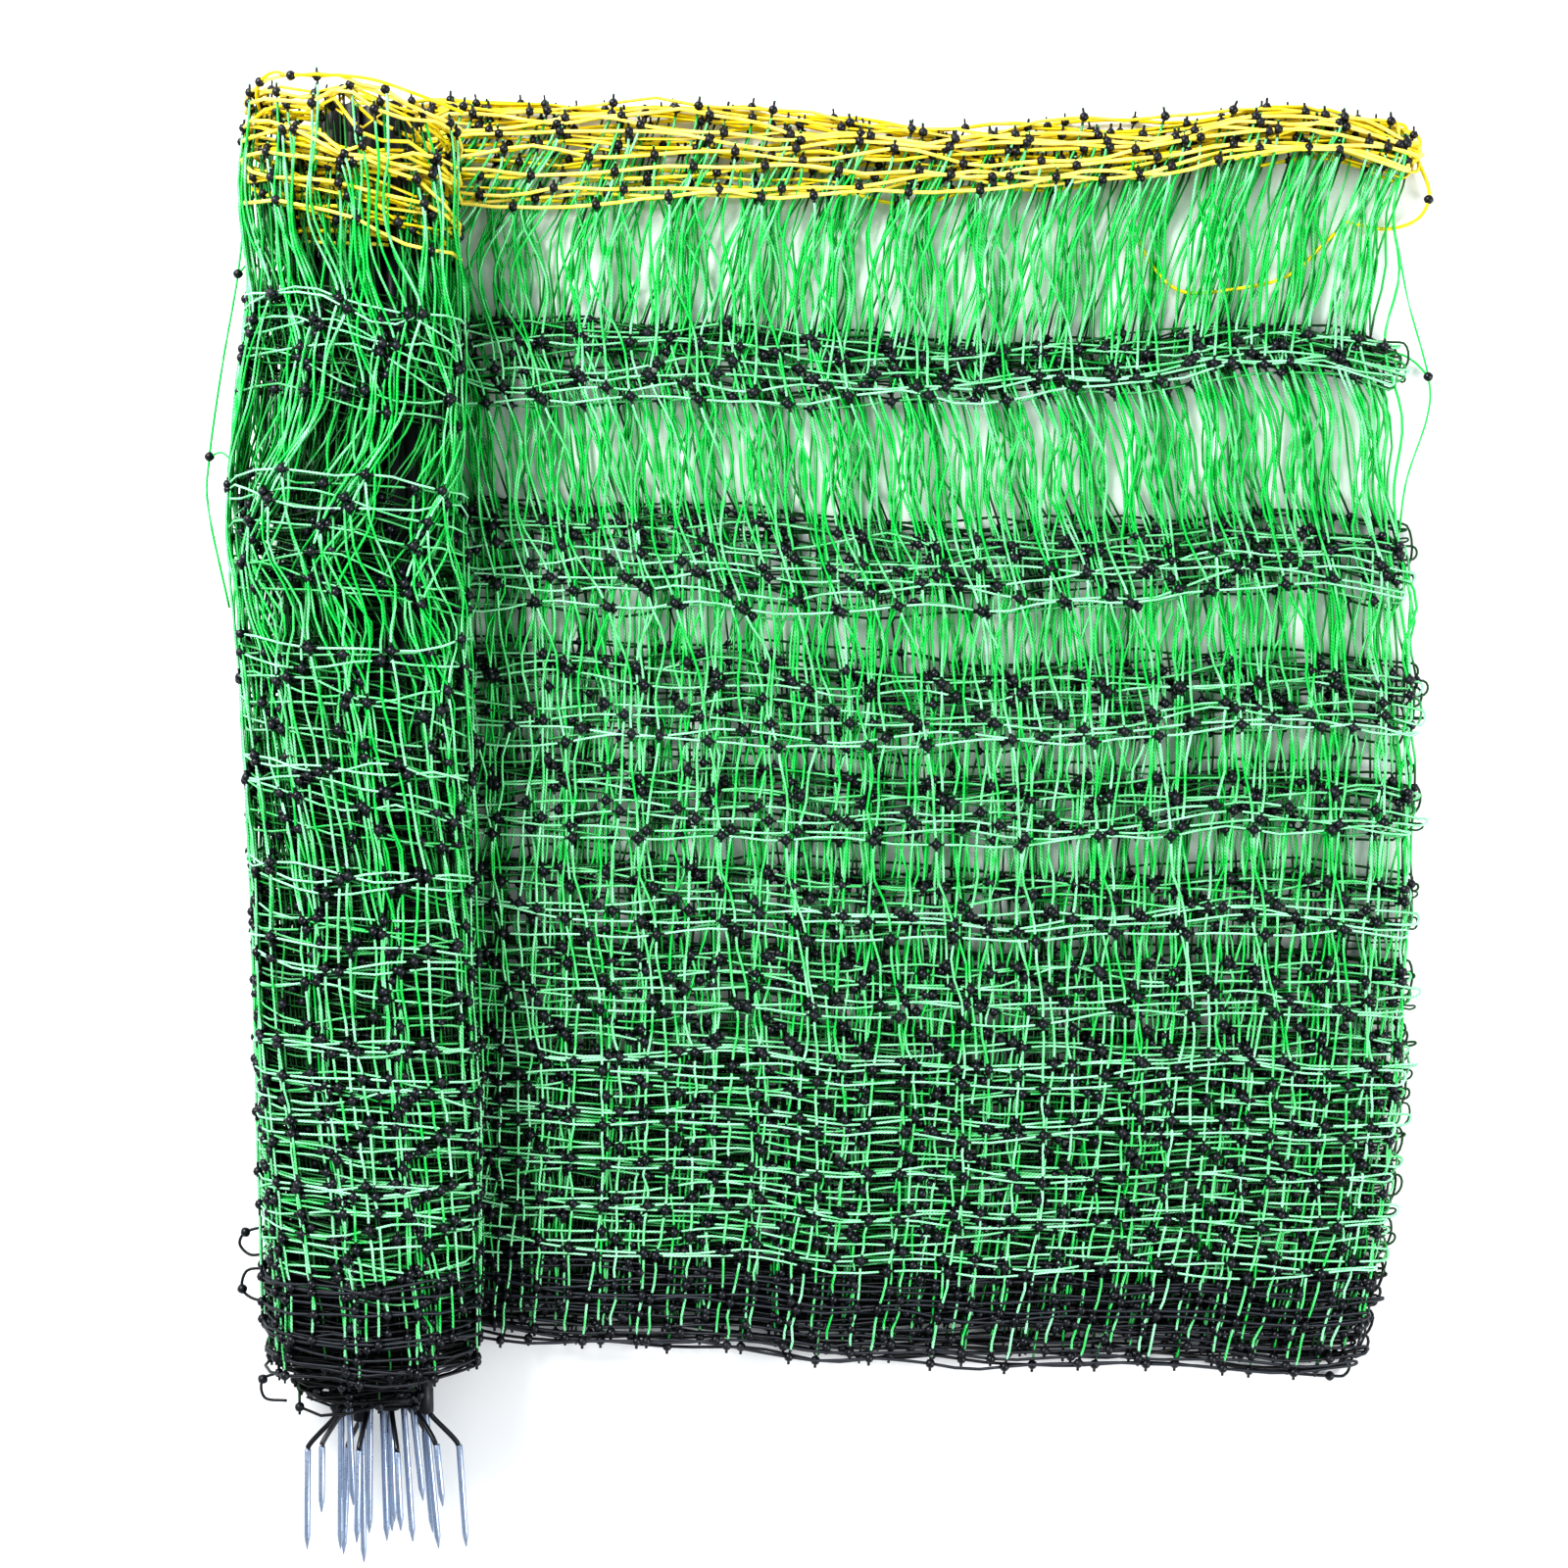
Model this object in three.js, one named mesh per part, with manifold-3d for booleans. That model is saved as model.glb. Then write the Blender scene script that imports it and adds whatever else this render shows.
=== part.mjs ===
// Folded electric fence netting, laid down for storage, as a three.js model.
// Millimetres, +Z up, +Y towards the yellow top line of the net, resting on z = 0.
//
// The net hangs between nine posts. Each span is folded in half and the halves are stacked,
// which gives sixteen layers of net that go back and forth. The post end of the stack is
// rolled up around the bundle of posts, and the rest of the stack lies flat to the right.
// The netting is one solid: a comb of thin layers, joined in pairs by their folds, that runs
// into the wound band of the roll. Windows go through the layers where the ground shows.
// Each post carries a steel spike, and a plastic tread arm that holds a second spike.

import * as THREE from "three";
import { mergeVertices } from "three/addons/utils/BufferGeometryUtils.js";
import Module from "manifold-3d";

const wasm = await Module();
wasm.setup();

// Netting stack: layers, the thickness of one and the distance from one to the next
const LAYERS = 16;
const SHEET = 1.1;
const LAYER_PITCH = 1.79;
const STACK = (LAYERS - 1) * LAYER_PITCH + SHEET;

// Clearances: between touching pieces, between the turns of the roll, inside a fold
const SEAT = 0.3;
const TURN_GAP = 1;
const FOLD_WALL = 1.4;

// Posts: round plastic rods, lying five below and four above in the core of the roll
const POST_RADIUS = 9;
const POST_LENGTH = 1262;
const POST_CHAMFER = 1.5;
const POST_SIDES = 12;
const POST_PITCH = 2 * POST_RADIUS + 0.4;
const ROW_RISE = POST_PITCH * Math.sin(Math.PI / 3);

// Spikes and tread arms: galvanised rods and the sleeved bar that carries the second one
const SPIKE_RADIUS = 3.2;
const SPIKE_POINT = 12;
const SPIKE_SIDES = 8;
const SPIKE_SEAT = 0.7;
const ARM_RADIUS = 2.5;
const ARM_ROOT = SPIKE_RADIUS + ARM_RADIUS + 0.5;
const ARM_REACH = 33;
const ARM_DROP = 32;
const ARM_STEPS = 8;

// Section of the roll, looking along Y: the band of all layers goes under the roll, up around
// the left axis, over the top, down around the right axis and once more around the posts
const CORE_HEIGHT = 2 * POST_RADIUS + ROW_RISE + SEAT + 1;
const CORE_FLOOR = 2 * STACK + TURN_GAP;
const CORE_TOP = CORE_FLOOR + CORE_HEIGHT;
const ROLL_HEIGHT = CORE_TOP + 2 * STACK + TURN_GAP;
const RIGHT_AXIS = 90;
const BESIDE_POSTS = RIGHT_AXIS + 6;
const TONGUE_END = -50;
const SPLIT = RIGHT_AXIS + 36;
const MIDDLE = SPLIT + 460;
const FOLD = SPLIT + 960;
const CROWN_POINTS = [0.3, 0.7];

// How far each pair of layers falls short of the outermost fold line at the right
const FOLD_SHORTFALL = [16, 4, 22, 9, 0, 14, 6, 19];
const FOLD_NOSE = 1.2;

// The net's shape along Y: axes of the roll, line of the folds, crown of the roll's top and
// swelling of the flat stack
const SECTIONS = [
  { y: -577, left: -434, right: -350, fold: 572, crown: 6, swell: 1.0 },
  { y: -481, left: -434, right: -350, fold: 596, crown: 8, swell: 1.1 },
  { y: -288, left: -441, right: -348, fold: 620, crown: 10, swell: 1.25 },
  { y: -96, left: -448, right: -355, fold: 627, crown: 9, swell: 1.3 },
  { y: 96, left: -456, right: -356, fold: 633, crown: 11, swell: 1.2 },
  { y: 231, left: -469, right: -362, fold: 622, crown: 12, swell: 1.1 },
  { y: 365, left: -465, right: -364, fold: 617, crown: 8, swell: 1.15 },
  { y: 480, left: -449, right: -366, fold: 611, crown: 5, swell: 1.05 },
  { y: 577, left: -459, right: -367, fold: 628, crown: 8, swell: 1.2 },
  { y: 673, left: -449, right: -370, fold: 630, crown: 6, swell: 1.15 },
];
const LENGTH_STEPS = 9;

// Where the net's top and bottom edges lie, from the roll to the folds, for the first layer,
// on the floor and outermost in the roll, and for the last one
const EDGES = [
  { x: 0, topFirst: 657, topLast: 575, bottomFirst: -513, bottomLast: -596 },
  { x: SPLIT, topFirst: 672, topLast: 578, bottomFirst: -500, bottomLast: -560 },
  { x: MIDDLE, topFirst: 661, topLast: 612, bottomFirst: -495, bottomLast: -567 },
  { x: FOLD, topFirst: 668, topLast: 629, bottomFirst: -493, bottomLast: -580 },
];

// Windows through all the layers, between slack stays: centre, size and sideways lean
const WINDOWS = [
  { x: -194, y: 512, width: 34, height: 56, lean: 8 },
  { x: -12, y: 506, width: 38, height: 60, lean: 10 },
  { x: 204, y: 514, width: 34, height: 54, lean: 9 },
  { x: 427, y: 508, width: 36, height: 58, lean: 10 },
  { x: -221, y: 343, width: 36, height: 70, lean: -10 },
  { x: -104, y: 338, width: 38, height: 74, lean: -12 },
  { x: 102, y: 346, width: 34, height: 66, lean: -8 },
  { x: 369, y: 340, width: 40, height: 72, lean: -10 },
  { x: -177, y: 166, width: 30, height: 36, lean: -4 },
  { x: 58, y: 170, width: 32, height: 34, lean: -4 },
  { x: 272, y: 164, width: 30, height: 36, lean: -3 },
  { x: 475, y: 168, width: 32, height: 34, lean: -4 },
];

// The bundle of posts: its middle line, and its spread from the tops to the feet
const BUNDLE = { topY: 673, topX: -409, footY: -577, footX: -391.4, spread: 1.1 };

// Each post: column and row in the bundle, foot, reach of its spikes beyond the foot, lean of
// both spikes, direction of the tread arm around the post, and the second spike's own lean
const POSTS = [
  { column: -2, row: 0, foot: -615, reach: 130, lean: -1, arm: 180, second: -1 },
  { column: -1, row: 0, foot: -620, reach: 138, lean: 0, arm: -125, second: -3 },
  { column: 0, row: 0, foot: -607, reach: 130, lean: 1, arm: -92, second: 2 },
  { column: 1, row: 0, foot: -605, reach: 133, lean: 3, arm: -62, second: 4 },
  { column: 2, row: 0, foot: -613, reach: 132, lean: 5, arm: -8, second: 3 },
  { column: -1.5, row: 1, foot: -602, reach: 96, lean: 2, arm: 132, second: -1 },
  { column: -0.5, row: 1, foot: -604, reach: 121, lean: -1, arm: 100, second: -2 },
  { column: 0.5, row: 1, foot: -606, reach: 108, lean: 1, arm: 72, second: 2 },
  { column: 1.5, row: 1, foot: -602, reach: 92, lean: 6, arm: 40, second: 6 },
];

const MATERIALS = {
  net: new THREE.MeshStandardMaterial({ color: 0x18a552, roughness: 0.75, metalness: 0 }),
  post: new THREE.MeshStandardMaterial({ color: 0x14161c, roughness: 0.55, metalness: 0 }),
  tread: new THREE.MeshStandardMaterial({ color: 0x1a1c22, roughness: 0.5, metalness: 0 }),
  spike: new THREE.MeshStandardMaterial({ color: 0xa4b2c6, roughness: 0.35, metalness: 1 }),
};

const group = new THREE.Group();

function addPiece(name, geometry, material, parent = group) {
  const mesh = new THREE.Mesh(geometry, material);
  mesh.name = name;
  parent.add(mesh);
  return mesh;
}

// Straight-line reading of a table: the value of a column at a place along its key column
function readTable(table, key, place, column) {
  const last = table.length - 1;
  let row = 0;
  while (row < last - 1 && place > table[row + 1][key]) row += 1;
  const low = table[row];
  const high = table[row + 1];
  const share = THREE.MathUtils.clamp((place - low[key]) / (high[key] - low[key]), 0, 1);
  return THREE.MathUtils.lerp(low[column], high[column], share);
}

// Arc around an axis of the roll, from its bottom over the given side to its top or back
function arcPoints(axis, radius, fromDegrees, toDegrees, steps, marks) {
  const points = [];
  for (let i = 0; i <= steps; i += 1) {
    const angle = THREE.MathUtils.degToRad(fromDegrees + ((toDegrees - fromDegrees) * i) / steps);
    const x = axis.x + radius * Math.cos(angle);
    const z = axis.z + radius * Math.sin(angle);
    points.push({ x, z, ...marks });
  }
  return points;
}

// One face of the wound band, from the flat stack to the band's end, a tongue tucked in between
// the posts and the outer turn. The offset is the distance from the band's middle line, outwards.
function bandFace(offset, depth) {
  const half = STACK / 2;
  const leftRadius = ROLL_HEIGHT / 2 - half;
  const rightFloor = STACK + TURN_GAP + half;
  const rightTop = ROLL_HEIGHT - half;
  const rightRadius = (rightTop - rightFloor) / 2;
  const innerTop = CORE_TOP + half;
  const innerRadius = (innerTop - rightFloor) / 2;
  const outer = { depth };
  const inner = { depth, inner: true };
  const leftAxis = { x: 0, z: ROLL_HEIGHT / 2 };
  const rightAxis = { x: RIGHT_AXIS, z: (rightTop + rightFloor) / 2 };
  const innerAxis = { x: 0, z: (innerTop + rightFloor) / 2 };
  const run = (height, marks) => CROWN_POINTS.map((share) => ({
    x: share * RIGHT_AXIS, z: height + offset, ...marks,
  }));
  const tongueRadius = rightRadius - half - TURN_GAP;
  const tongueFoot = rightAxis.z + tongueRadius * Math.sin(THREE.MathUtils.degToRad(TONGUE_END));
  const beside = { depth, beside: true };
  const tongue = offset > 0
    ? arcPoints(rightAxis, tongueRadius, 90, TONGUE_END, 6, outer)
    : [
      { x: BESIDE_POSTS, z: innerTop + offset, ...beside },
      { x: BESIDE_POSTS, z: tongueFoot, ...beside },
    ];
  return [
    ...arcPoints(leftAxis, leftRadius + offset, 270, 90, 8, outer),
    ...run(rightTop, outer),
    ...arcPoints(rightAxis, rightRadius + offset, 90, -90, 8, outer),
    ...arcPoints(innerAxis, innerRadius + offset, 270, 90, 6, inner),
    ...run(innerTop, inner),
    ...tongue,
  ];
}

// Section of the netting: the outline of band and layers, and the gap inside each fold
function nettingSection() {
  const outline = [...bandFace(STACK / 2, 0), ...bandFace(-STACK / 2, 1).reverse()];
  const gaps = [];
  const pairs = LAYERS / 2;
  for (let pair = pairs - 1; pair >= 0; pair -= 1) {
    const low = 2 * pair * LAYER_PITCH;
    const high = low + LAYER_PITCH + SHEET;
    const end = FOLD - FOLD_SHORTFALL[pair];
    if (pair < pairs - 1) outline.push({ x: SPLIT, z: high }, { x: MIDDLE, z: high });
    else outline.push({ x: SPLIT, z: STACK }, { x: MIDDLE, z: STACK });
    outline.push(
      { x: end - FOLD_NOSE, z: high },
      { x: end, z: high - FOLD_NOSE },
      { x: end, z: low + FOLD_NOSE },
      { x: end - FOLD_NOSE, z: low },
      { x: MIDDLE, z: low },
      { x: SPLIT, z: low },
    );
    const innerEnd = end - FOLD_WALL;
    const gapLow = low + SHEET;
    const gapHigh = low + LAYER_PITCH;
    gaps.push([
      { x: SPLIT, z: gapLow }, { x: SPLIT, z: gapHigh }, { x: MIDDLE, z: gapHigh },
      { x: innerEnd, z: gapHigh }, { x: innerEnd, z: gapLow }, { x: MIDDLE, z: gapLow },
    ]);
  }
  for (const point of [outline, ...gaps].flat()) {
    if (point.depth !== undefined) continue;
    point.depth = point.z / STACK;
    point.flat = true;
  }
  return { outline: outline.reverse(), gaps };
}

// Where the middle line of a column of the bundle of posts is, at a place along Y
function bundlePlace(y, column) {
  const share = (BUNDLE.topY - y) / (BUNDLE.topY - BUNDLE.footY);
  const middle = THREE.MathUtils.lerp(BUNDLE.topX, BUNDLE.footX, share);
  const pitch = POST_PITCH * THREE.MathUtils.lerp(1, BUNDLE.spread, share);
  return middle + column * pitch;
}

// Puts a point of the section at its place in the net, a share of the way from the bottom
// edge to the top edge
function placeInNet(point, share) {
  const edge = (column) => readTable(EDGES, "x", point.x, column);
  const bottom = THREE.MathUtils.lerp(edge("bottomFirst"), edge("bottomLast"), point.depth);
  const top = THREE.MathUtils.lerp(edge("topFirst"), edge("topLast"), point.depth);
  const y = THREE.MathUtils.lerp(bottom, top, share);
  const at = (column) => readTable(SECTIONS, "y", y, column);
  const left = point.inner ? bundlePlace(y, -2) - TURN_GAP : at("left");
  const right = at("right");
  let x = left + point.x;
  let z = point.z;
  if (point.flat) {
    const start = right + SPLIT - RIGHT_AXIS;
    const along = (point.x - SPLIT) / (FOLD - SPLIT);
    x = THREE.MathUtils.lerp(start, at("fold"), along);
    z = along > 0 ? point.z * at("swell") : point.z;
  } else if (point.beside) {
    x = bundlePlace(y, 2) + POST_RADIUS + TURN_GAP + point.x - BESIDE_POSTS;
  } else if (point.x > RIGHT_AXIS) {
    x = right + point.x - RIGHT_AXIS;
  } else if (point.x > 0) {
    const across = point.x / RIGHT_AXIS;
    x = THREE.MathUtils.lerp(left, right, across);
    if (point.z > CORE_TOP - SEAT) z += at("crown") * 4 * across * (1 - across);
  }
  return [x, y, z];
}

// Closed solid through copies of a section with gaps, placed one after the other along Y
function loft(outline, gaps, steps, place) {
  const rings = [outline, ...gaps];
  const count = rings.reduce((sum, ring) => sum + ring.length, 0);
  const vertices = [];
  for (let step = 0; step <= steps; step += 1) {
    for (const point of rings.flat()) vertices.push(...place(point, step / steps));
  }
  const indices = [];
  let first = 0;
  for (const ring of rings) {
    for (let i = 0; i < ring.length; i += 1) {
      for (let step = 0; step < steps; step += 1) {
        const a = step * count + first + i;
        const b = step * count + first + ((i + 1) % ring.length);
        indices.push(a, b + count, b, a, a + count, b + count);
      }
    }
    first += ring.length;
  }
  const flat = (ring) => ring.map((point) => new THREE.Vector2(point.x, point.z));
  const farEnd = steps * count;
  for (const [a, b, c] of THREE.ShapeUtils.triangulateShape(flat(outline), gaps.map(flat))) {
    indices.push(a, b, c, farEnd + a, farEnd + c, farEnd + b);
  }
  const geometry = new THREE.BufferGeometry();
  geometry.setAttribute("position", new THREE.Float32BufferAttribute(vertices, 3));
  geometry.setIndex(indices);
  return geometry;
}

function toManifold(source) {
  const bare = source.clone();
  bare.deleteAttribute("normal");
  bare.deleteAttribute("uv");
  const merged = mergeVertices(bare, 1e-4);
  return new wasm.Manifold(new wasm.Mesh({
    numProp: 3,
    vertProperties: new Float32Array(merged.attributes.position.array),
    triVerts: new Uint32Array(merged.index.array),
  }));
}

function fromManifold(solid) {
  const mesh = solid.getMesh();
  const geometry = new THREE.BufferGeometry();
  geometry.setAttribute("position", new THREE.Float32BufferAttribute(mesh.vertProperties, 3));
  geometry.setIndex(Array.from(mesh.triVerts));
  return geometry;
}

// Prism through the whole flat stack, with its long sides leaning
function windowPrism({ x, y, width, height, lean }) {
  const half = { x: width / 2, y: height / 2 };
  const shape = new THREE.Shape([
    new THREE.Vector2(x - half.x - lean / 2, y - half.y),
    new THREE.Vector2(x + half.x - lean / 2, y - half.y),
    new THREE.Vector2(x + half.x + lean / 2, y + half.y),
    new THREE.Vector2(x - half.x + lean / 2, y + half.y),
  ]);
  const margin = 10;
  const prism = new THREE.ExtrudeGeometry(shape, { depth: 2 * STACK + margin, bevelEnabled: false });
  prism.translate(0, 0, -margin);
  return prism;
}

function makeNetting() {
  const { outline, gaps } = nettingSection();
  let solid = toManifold(loft(outline, gaps, LENGTH_STEPS, placeInNet));
  for (const opening of WINDOWS) solid = solid.subtract(toManifold(windowPrism(opening)));
  addPiece("netting", fromManifold(solid), MATERIALS.net);
}

// Rod with both ends chamfered, from y = 0 upwards
function postGeometry() {
  const profile = [
    new THREE.Vector2(0, 0),
    new THREE.Vector2(POST_RADIUS - POST_CHAMFER, 0),
    new THREE.Vector2(POST_RADIUS, POST_CHAMFER),
    new THREE.Vector2(POST_RADIUS, POST_LENGTH - POST_CHAMFER),
    new THREE.Vector2(POST_RADIUS - POST_CHAMFER, POST_LENGTH),
    new THREE.Vector2(0, POST_LENGTH),
  ];
  return new THREE.LatheGeometry(profile, POST_SIDES);
}

// Pointed rod, from its root at y = 0 downwards
function spikeGeometry(length) {
  const profile = [
    new THREE.Vector2(0, -length),
    new THREE.Vector2(SPIKE_RADIUS, SPIKE_POINT - length),
    new THREE.Vector2(SPIKE_RADIUS, 0),
    new THREE.Vector2(0, 0),
  ];
  return new THREE.LatheGeometry(profile, SPIKE_SIDES);
}

// Bar from under the post's foot, out to the side and down again
function armGeometry() {
  const path = new THREE.CatmullRomCurve3([
    new THREE.Vector3(ARM_ROOT, -2 * SEAT, 0),
    new THREE.Vector3(ARM_ROOT + 1, -5, 0),
    new THREE.Vector3(ARM_REACH - 1, 6 - ARM_DROP, 0),
    new THREE.Vector3(ARM_REACH, -ARM_DROP, 0),
  ]);
  const section = new THREE.Shape();
  section.absarc(0, 0, ARM_RADIUS, 0, 2 * Math.PI);
  return new THREE.ExtrudeGeometry(section, {
    steps: ARM_STEPS, curveSegments: SPIKE_SIDES, extrudePath: path, bevelEnabled: false,
  });
}

function makePost(spec, number) {
  const label = String(number).padStart(2, "0");
  const radians = THREE.MathUtils.degToRad;
  const holder = new THREE.Group();
  const footX = bundlePlace(spec.foot, spec.column);
  const topX = bundlePlace(spec.foot + POST_LENGTH, spec.column);
  const height = CORE_FLOOR + SEAT + POST_RADIUS + spec.row * ROW_RISE;
  holder.position.set(footX, spec.foot, height);
  holder.rotation.z = -Math.atan2(topX - footX, POST_LENGTH);
  group.add(holder);
  addPiece(`post_${label}`, postGeometry(), MATERIALS.post, holder);

  const main = addPiece(`spike_${label}`, spikeGeometry(spec.reach), MATERIALS.spike, holder);
  main.position.set(0, -SPIKE_SEAT, 0);
  main.rotation.z = radians(spec.lean);

  const fork = new THREE.Group();
  fork.rotation.y = -radians(spec.arm);
  holder.add(fork);
  addPiece(`tread_arm_${label}`, armGeometry(), MATERIALS.tread, fork);

  const away = radians(spec.arm);
  const second = addPiece(
    `second_spike_${label}`, spikeGeometry(spec.reach - ARM_DROP), MATERIALS.spike, holder,
  );
  second.position.set(ARM_REACH * Math.cos(away), -ARM_DROP - SPIKE_SEAT, ARM_REACH * Math.sin(away));
  second.rotation.z = radians(spec.second);
}

makeNetting();
POSTS.forEach((spec, index) => makePost(spec, index + 1));

// The origin is the middle of the object's outer box, at the floor
group.updateMatrixWorld(true);
const middle = new THREE.Box3().setFromObject(group, true).getCenter(new THREE.Vector3());
group.position.set(-middle.x, -middle.y, 0);

export default group;
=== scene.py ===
"""Looks of the folded electric netting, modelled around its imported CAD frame.

The net is a long panel of fourteen twisted strands with slack stays across them and a moulded
joint at every crossing. It lies folded in thirty-two layers, and its post end is rolled up. Every
layer is one path through the flat stack and the roll, and strands, stays and joints are all
placed on those paths, so they stay together. Lengths are millimetres in the tables and metres
in the properties and the meshes.
"""

from functools import partial

import bpy
import numpy as np
from bpy.props import FloatProperty, FloatVectorProperty, PointerProperty
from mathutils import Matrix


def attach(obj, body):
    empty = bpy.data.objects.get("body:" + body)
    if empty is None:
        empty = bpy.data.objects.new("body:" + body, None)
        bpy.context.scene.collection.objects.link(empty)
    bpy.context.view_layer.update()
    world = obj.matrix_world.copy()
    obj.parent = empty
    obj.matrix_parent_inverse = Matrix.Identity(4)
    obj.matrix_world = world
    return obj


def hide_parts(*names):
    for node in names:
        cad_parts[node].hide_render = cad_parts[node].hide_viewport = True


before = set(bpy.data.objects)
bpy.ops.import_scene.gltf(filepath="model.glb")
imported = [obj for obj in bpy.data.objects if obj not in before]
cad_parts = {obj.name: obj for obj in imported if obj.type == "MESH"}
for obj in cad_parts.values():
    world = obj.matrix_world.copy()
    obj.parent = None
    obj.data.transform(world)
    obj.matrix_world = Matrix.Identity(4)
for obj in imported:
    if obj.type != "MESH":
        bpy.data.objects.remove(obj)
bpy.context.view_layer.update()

bl_info = {
    "name": "Folded electric netting",
    "version": (1, 0, 0),
    "blender": (4, 5, 0),
    "location": "View3D > Sidebar > Netting",
    "description": "Builds the strands, stays, joints, posts and spikes of a folded net",
    "category": "Object",
}

MM = 0.001
SEED = 41

# Where the net's own zero, the middle of its width and height, lies in the frame. All lengths in
# the tables that follow are millimetres.
NET_ZERO = np.array([-44.405, 43.426, 0.0])

# Layers of the folded net, the height of their stack and half of it, the gap between two turns of
# the roll, the room that the lowest and the topmost layer of the stack leave for their joints,
# and how much further out than the CAD's band the layers lie on the roll
LAYERS = 32
STACK = 27.95
HALF = STACK / 2
TURN_GAP = 1.0
ROOM_BELOW = 5.4
ROOM_ABOVE = 2.0
ROLL_LIFT = 2.6

# The roll in section: tops of the posts' core and of the roll, then radii and heights of the
# middle of the band of layers
CORE_TOP = 92.1
ROLL_HEIGHT = 149.1
LEFT_RADIUS = ROLL_HEIGHT / 2 - HALF
RIGHT_FLOOR = STACK + TURN_GAP + HALF
ROLL_TOP = ROLL_HEIGHT - HALF
RIGHT_RADIUS = (ROLL_TOP - RIGHT_FLOOR) / 2
INNER_TOP = CORE_TOP + HALF
INNER_RADIUS = (INNER_TOP - RIGHT_FLOOR) / 2

# How far right of the roll's right axis the flat stack starts, and how far left of it the
# innermost turn stops
FLAT_START = 36.0
INNER_STOP = 8.0

# Across the net's height: y, left and right axis of the roll, line of the folds, crown of the
# roll's top and swelling of the flat stack
SECTIONS = np.array([
    (-577, -434, -350, 572, 6, 1.0),
    (-481, -434, -350, 596, 8, 1.1),
    (-288, -441, -348, 620, 10, 1.25),
    (-96, -448, -355, 627, 9, 1.3),
    (96, -456, -356, 633, 11, 1.2),
    (231, -469, -362, 622, 12, 1.1),
    (365, -465, -364, 617, 8, 1.15),
    (480, -449, -366, 611, 5, 1.05),
    (577, -459, -367, 628, 8, 1.2),
    (673, -449, -370, 630, 6, 1.15),
])
# How far up and down the table's corners are rounded, how much more than it says the flat stack
# swells, and where along the flat stack it starts to sink to its height under the roll
SECTION_ROUNDING = 22.0
MORE_SWELL = 1.1
SWELL_ENDS = 0.86
# Left axis of the innermost turn at the bottom and at the top, and how far each fold stops short
# of the line of the folds
CORE_LEFT = ((-577, -432.9), (673, -446.8))
FOLD_SHORTFALL = np.array([16, 4, 22, 9, 0, 14, 6, 19, 2, 12, 25, 8, 17, 10, 3, 15])

# Along a layer's path: place, then where the net's top edge lies in the layers whose edges are
# highest and lowest, and the same for its bottom edge. The places count the stretches of the
# path: 1 where the roll begins, 2 to 3 around its left side, 4 to 5 around its right side. Its
# corners are rounded over a short way.
EDGE_ROUNDING = 0.02
EDGES = np.array([
    (0.00, 645, 600, -520, -575),
    (0.03, 652, 620, -521, -580),
    (0.09, 666, 628, -522, -582),
    (0.17, 664, 622, -520, -577),
    (0.26, 652, 604, -519, -572),
    (0.46, 647, 588, -517, -570),
    (0.60, 657, 584, -516, -571),
    (0.68, 667, 577, -512, -557),
    (0.77, 673, 580, -508, -552),
    (0.93, 676, 577, -503, -547),
    (1.00, 680, 570, -500, -543),
    (2.00, 674, 572, -500, -560),
    (2.50, 668, 575, -505, -562),
    (3.00, 663, 550, -511, -566),
    (3.50, 657, 540, -513, -574),
    (4.00, 648, 524, -513, -572),
    (4.50, 630, 505, -518, -562),
    (5.00, 622, 515, -530, -572),
    (6.00, 620, 528, -545, -587),
    (7.00, 606, 520, -552, -602),
    (8.00, 600, 512, -550, -598),
])

# The strands from the bottom: height in the hanging net, how much further than its neighbours a
# strand is spread over the layers, its looseness, how much the stays lean there in the last
# layer and in the others, and how much they lean on the roll
STRANDS = np.array([
    (0, 0, 0.6, 0, 0, 22),
    (50, 0, 0.6, 4, 0, 20),
    (100, 0, 0.8, 8, 0, 12),
    (150, 0, 0.8, 15, 1, 9),
    (200, 0, 0.8, 16, 1, 5),
    (250, 0, 0.8, 14, 0, -2),
    (300, 0, 0.9, 10, 0, -7),
    (380, 0, 1.0, 8, 0, -10),
    (465, 2, 1.1, 0, 0, -8),
    (570, 4, 1.2, -17, 2, -24),
    (680, 18, 1.4, -29, 4, -38),
    (845, 16, 1.5, -52, 8, -54),
    (1045, -2, 1.6, -97, -26, -2),
    (1250, 0, 1.4, -128, 10, -36),
])
NET_HEIGHT = STRANDS[-1, 0]
# Each strand's share of the way from the bottom edge to the top one, in the flat stack
FLAT_SHARES = np.array([
    0, 0.038, 0.078, 0.117, 0.156, 0.194, 0.235, 0.294, 0.362, 0.446, 0.532, 0.652, 0.820, 1,
])
BLACK_STRANDS = [0, 1]
GREEN_STRANDS = list(range(2, 13))
YELLOW_STRANDS = [13]

# First stay from the fold in the last layer, the order in which eight layers share the way from
# one stay to the next (rows of joints that slant down and break off again), how far that order
# is shifted for the next eight, and the number of stays that a layer has room for
FIRST_STAY = 57.5
CHAIN = np.array([0, 1, 2, 3, 6, 7, 4, 5])
CHAIN_SHIFT = 3
STAYS = 24

# How far chance moves things: all the stays of a layer and each of them along the layer, a whole
# layer up or down on the flat stack, a joint up or down, and a strand between two joints up or
# down and outwards
LAYER_STAYS_CHANCE = 1.8
STAY_CHANCE = 3.2
LAYER_CHANCE = 9.0
JOINT_CHANCE = 1.3
BOW_CHANCE = 1.6
LIFT_CHANCE = 0.7
# How far it makes the stays of a layer lean together for each 60 mm of a span, and each of them
# for itself on the flat stack and on the roll
LEAN_SPAN = 60.0
LAYER_LEAN_CHANCE = 2.4
STAY_LEAN_CHANCE = (1.2, 0.6)
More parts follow.
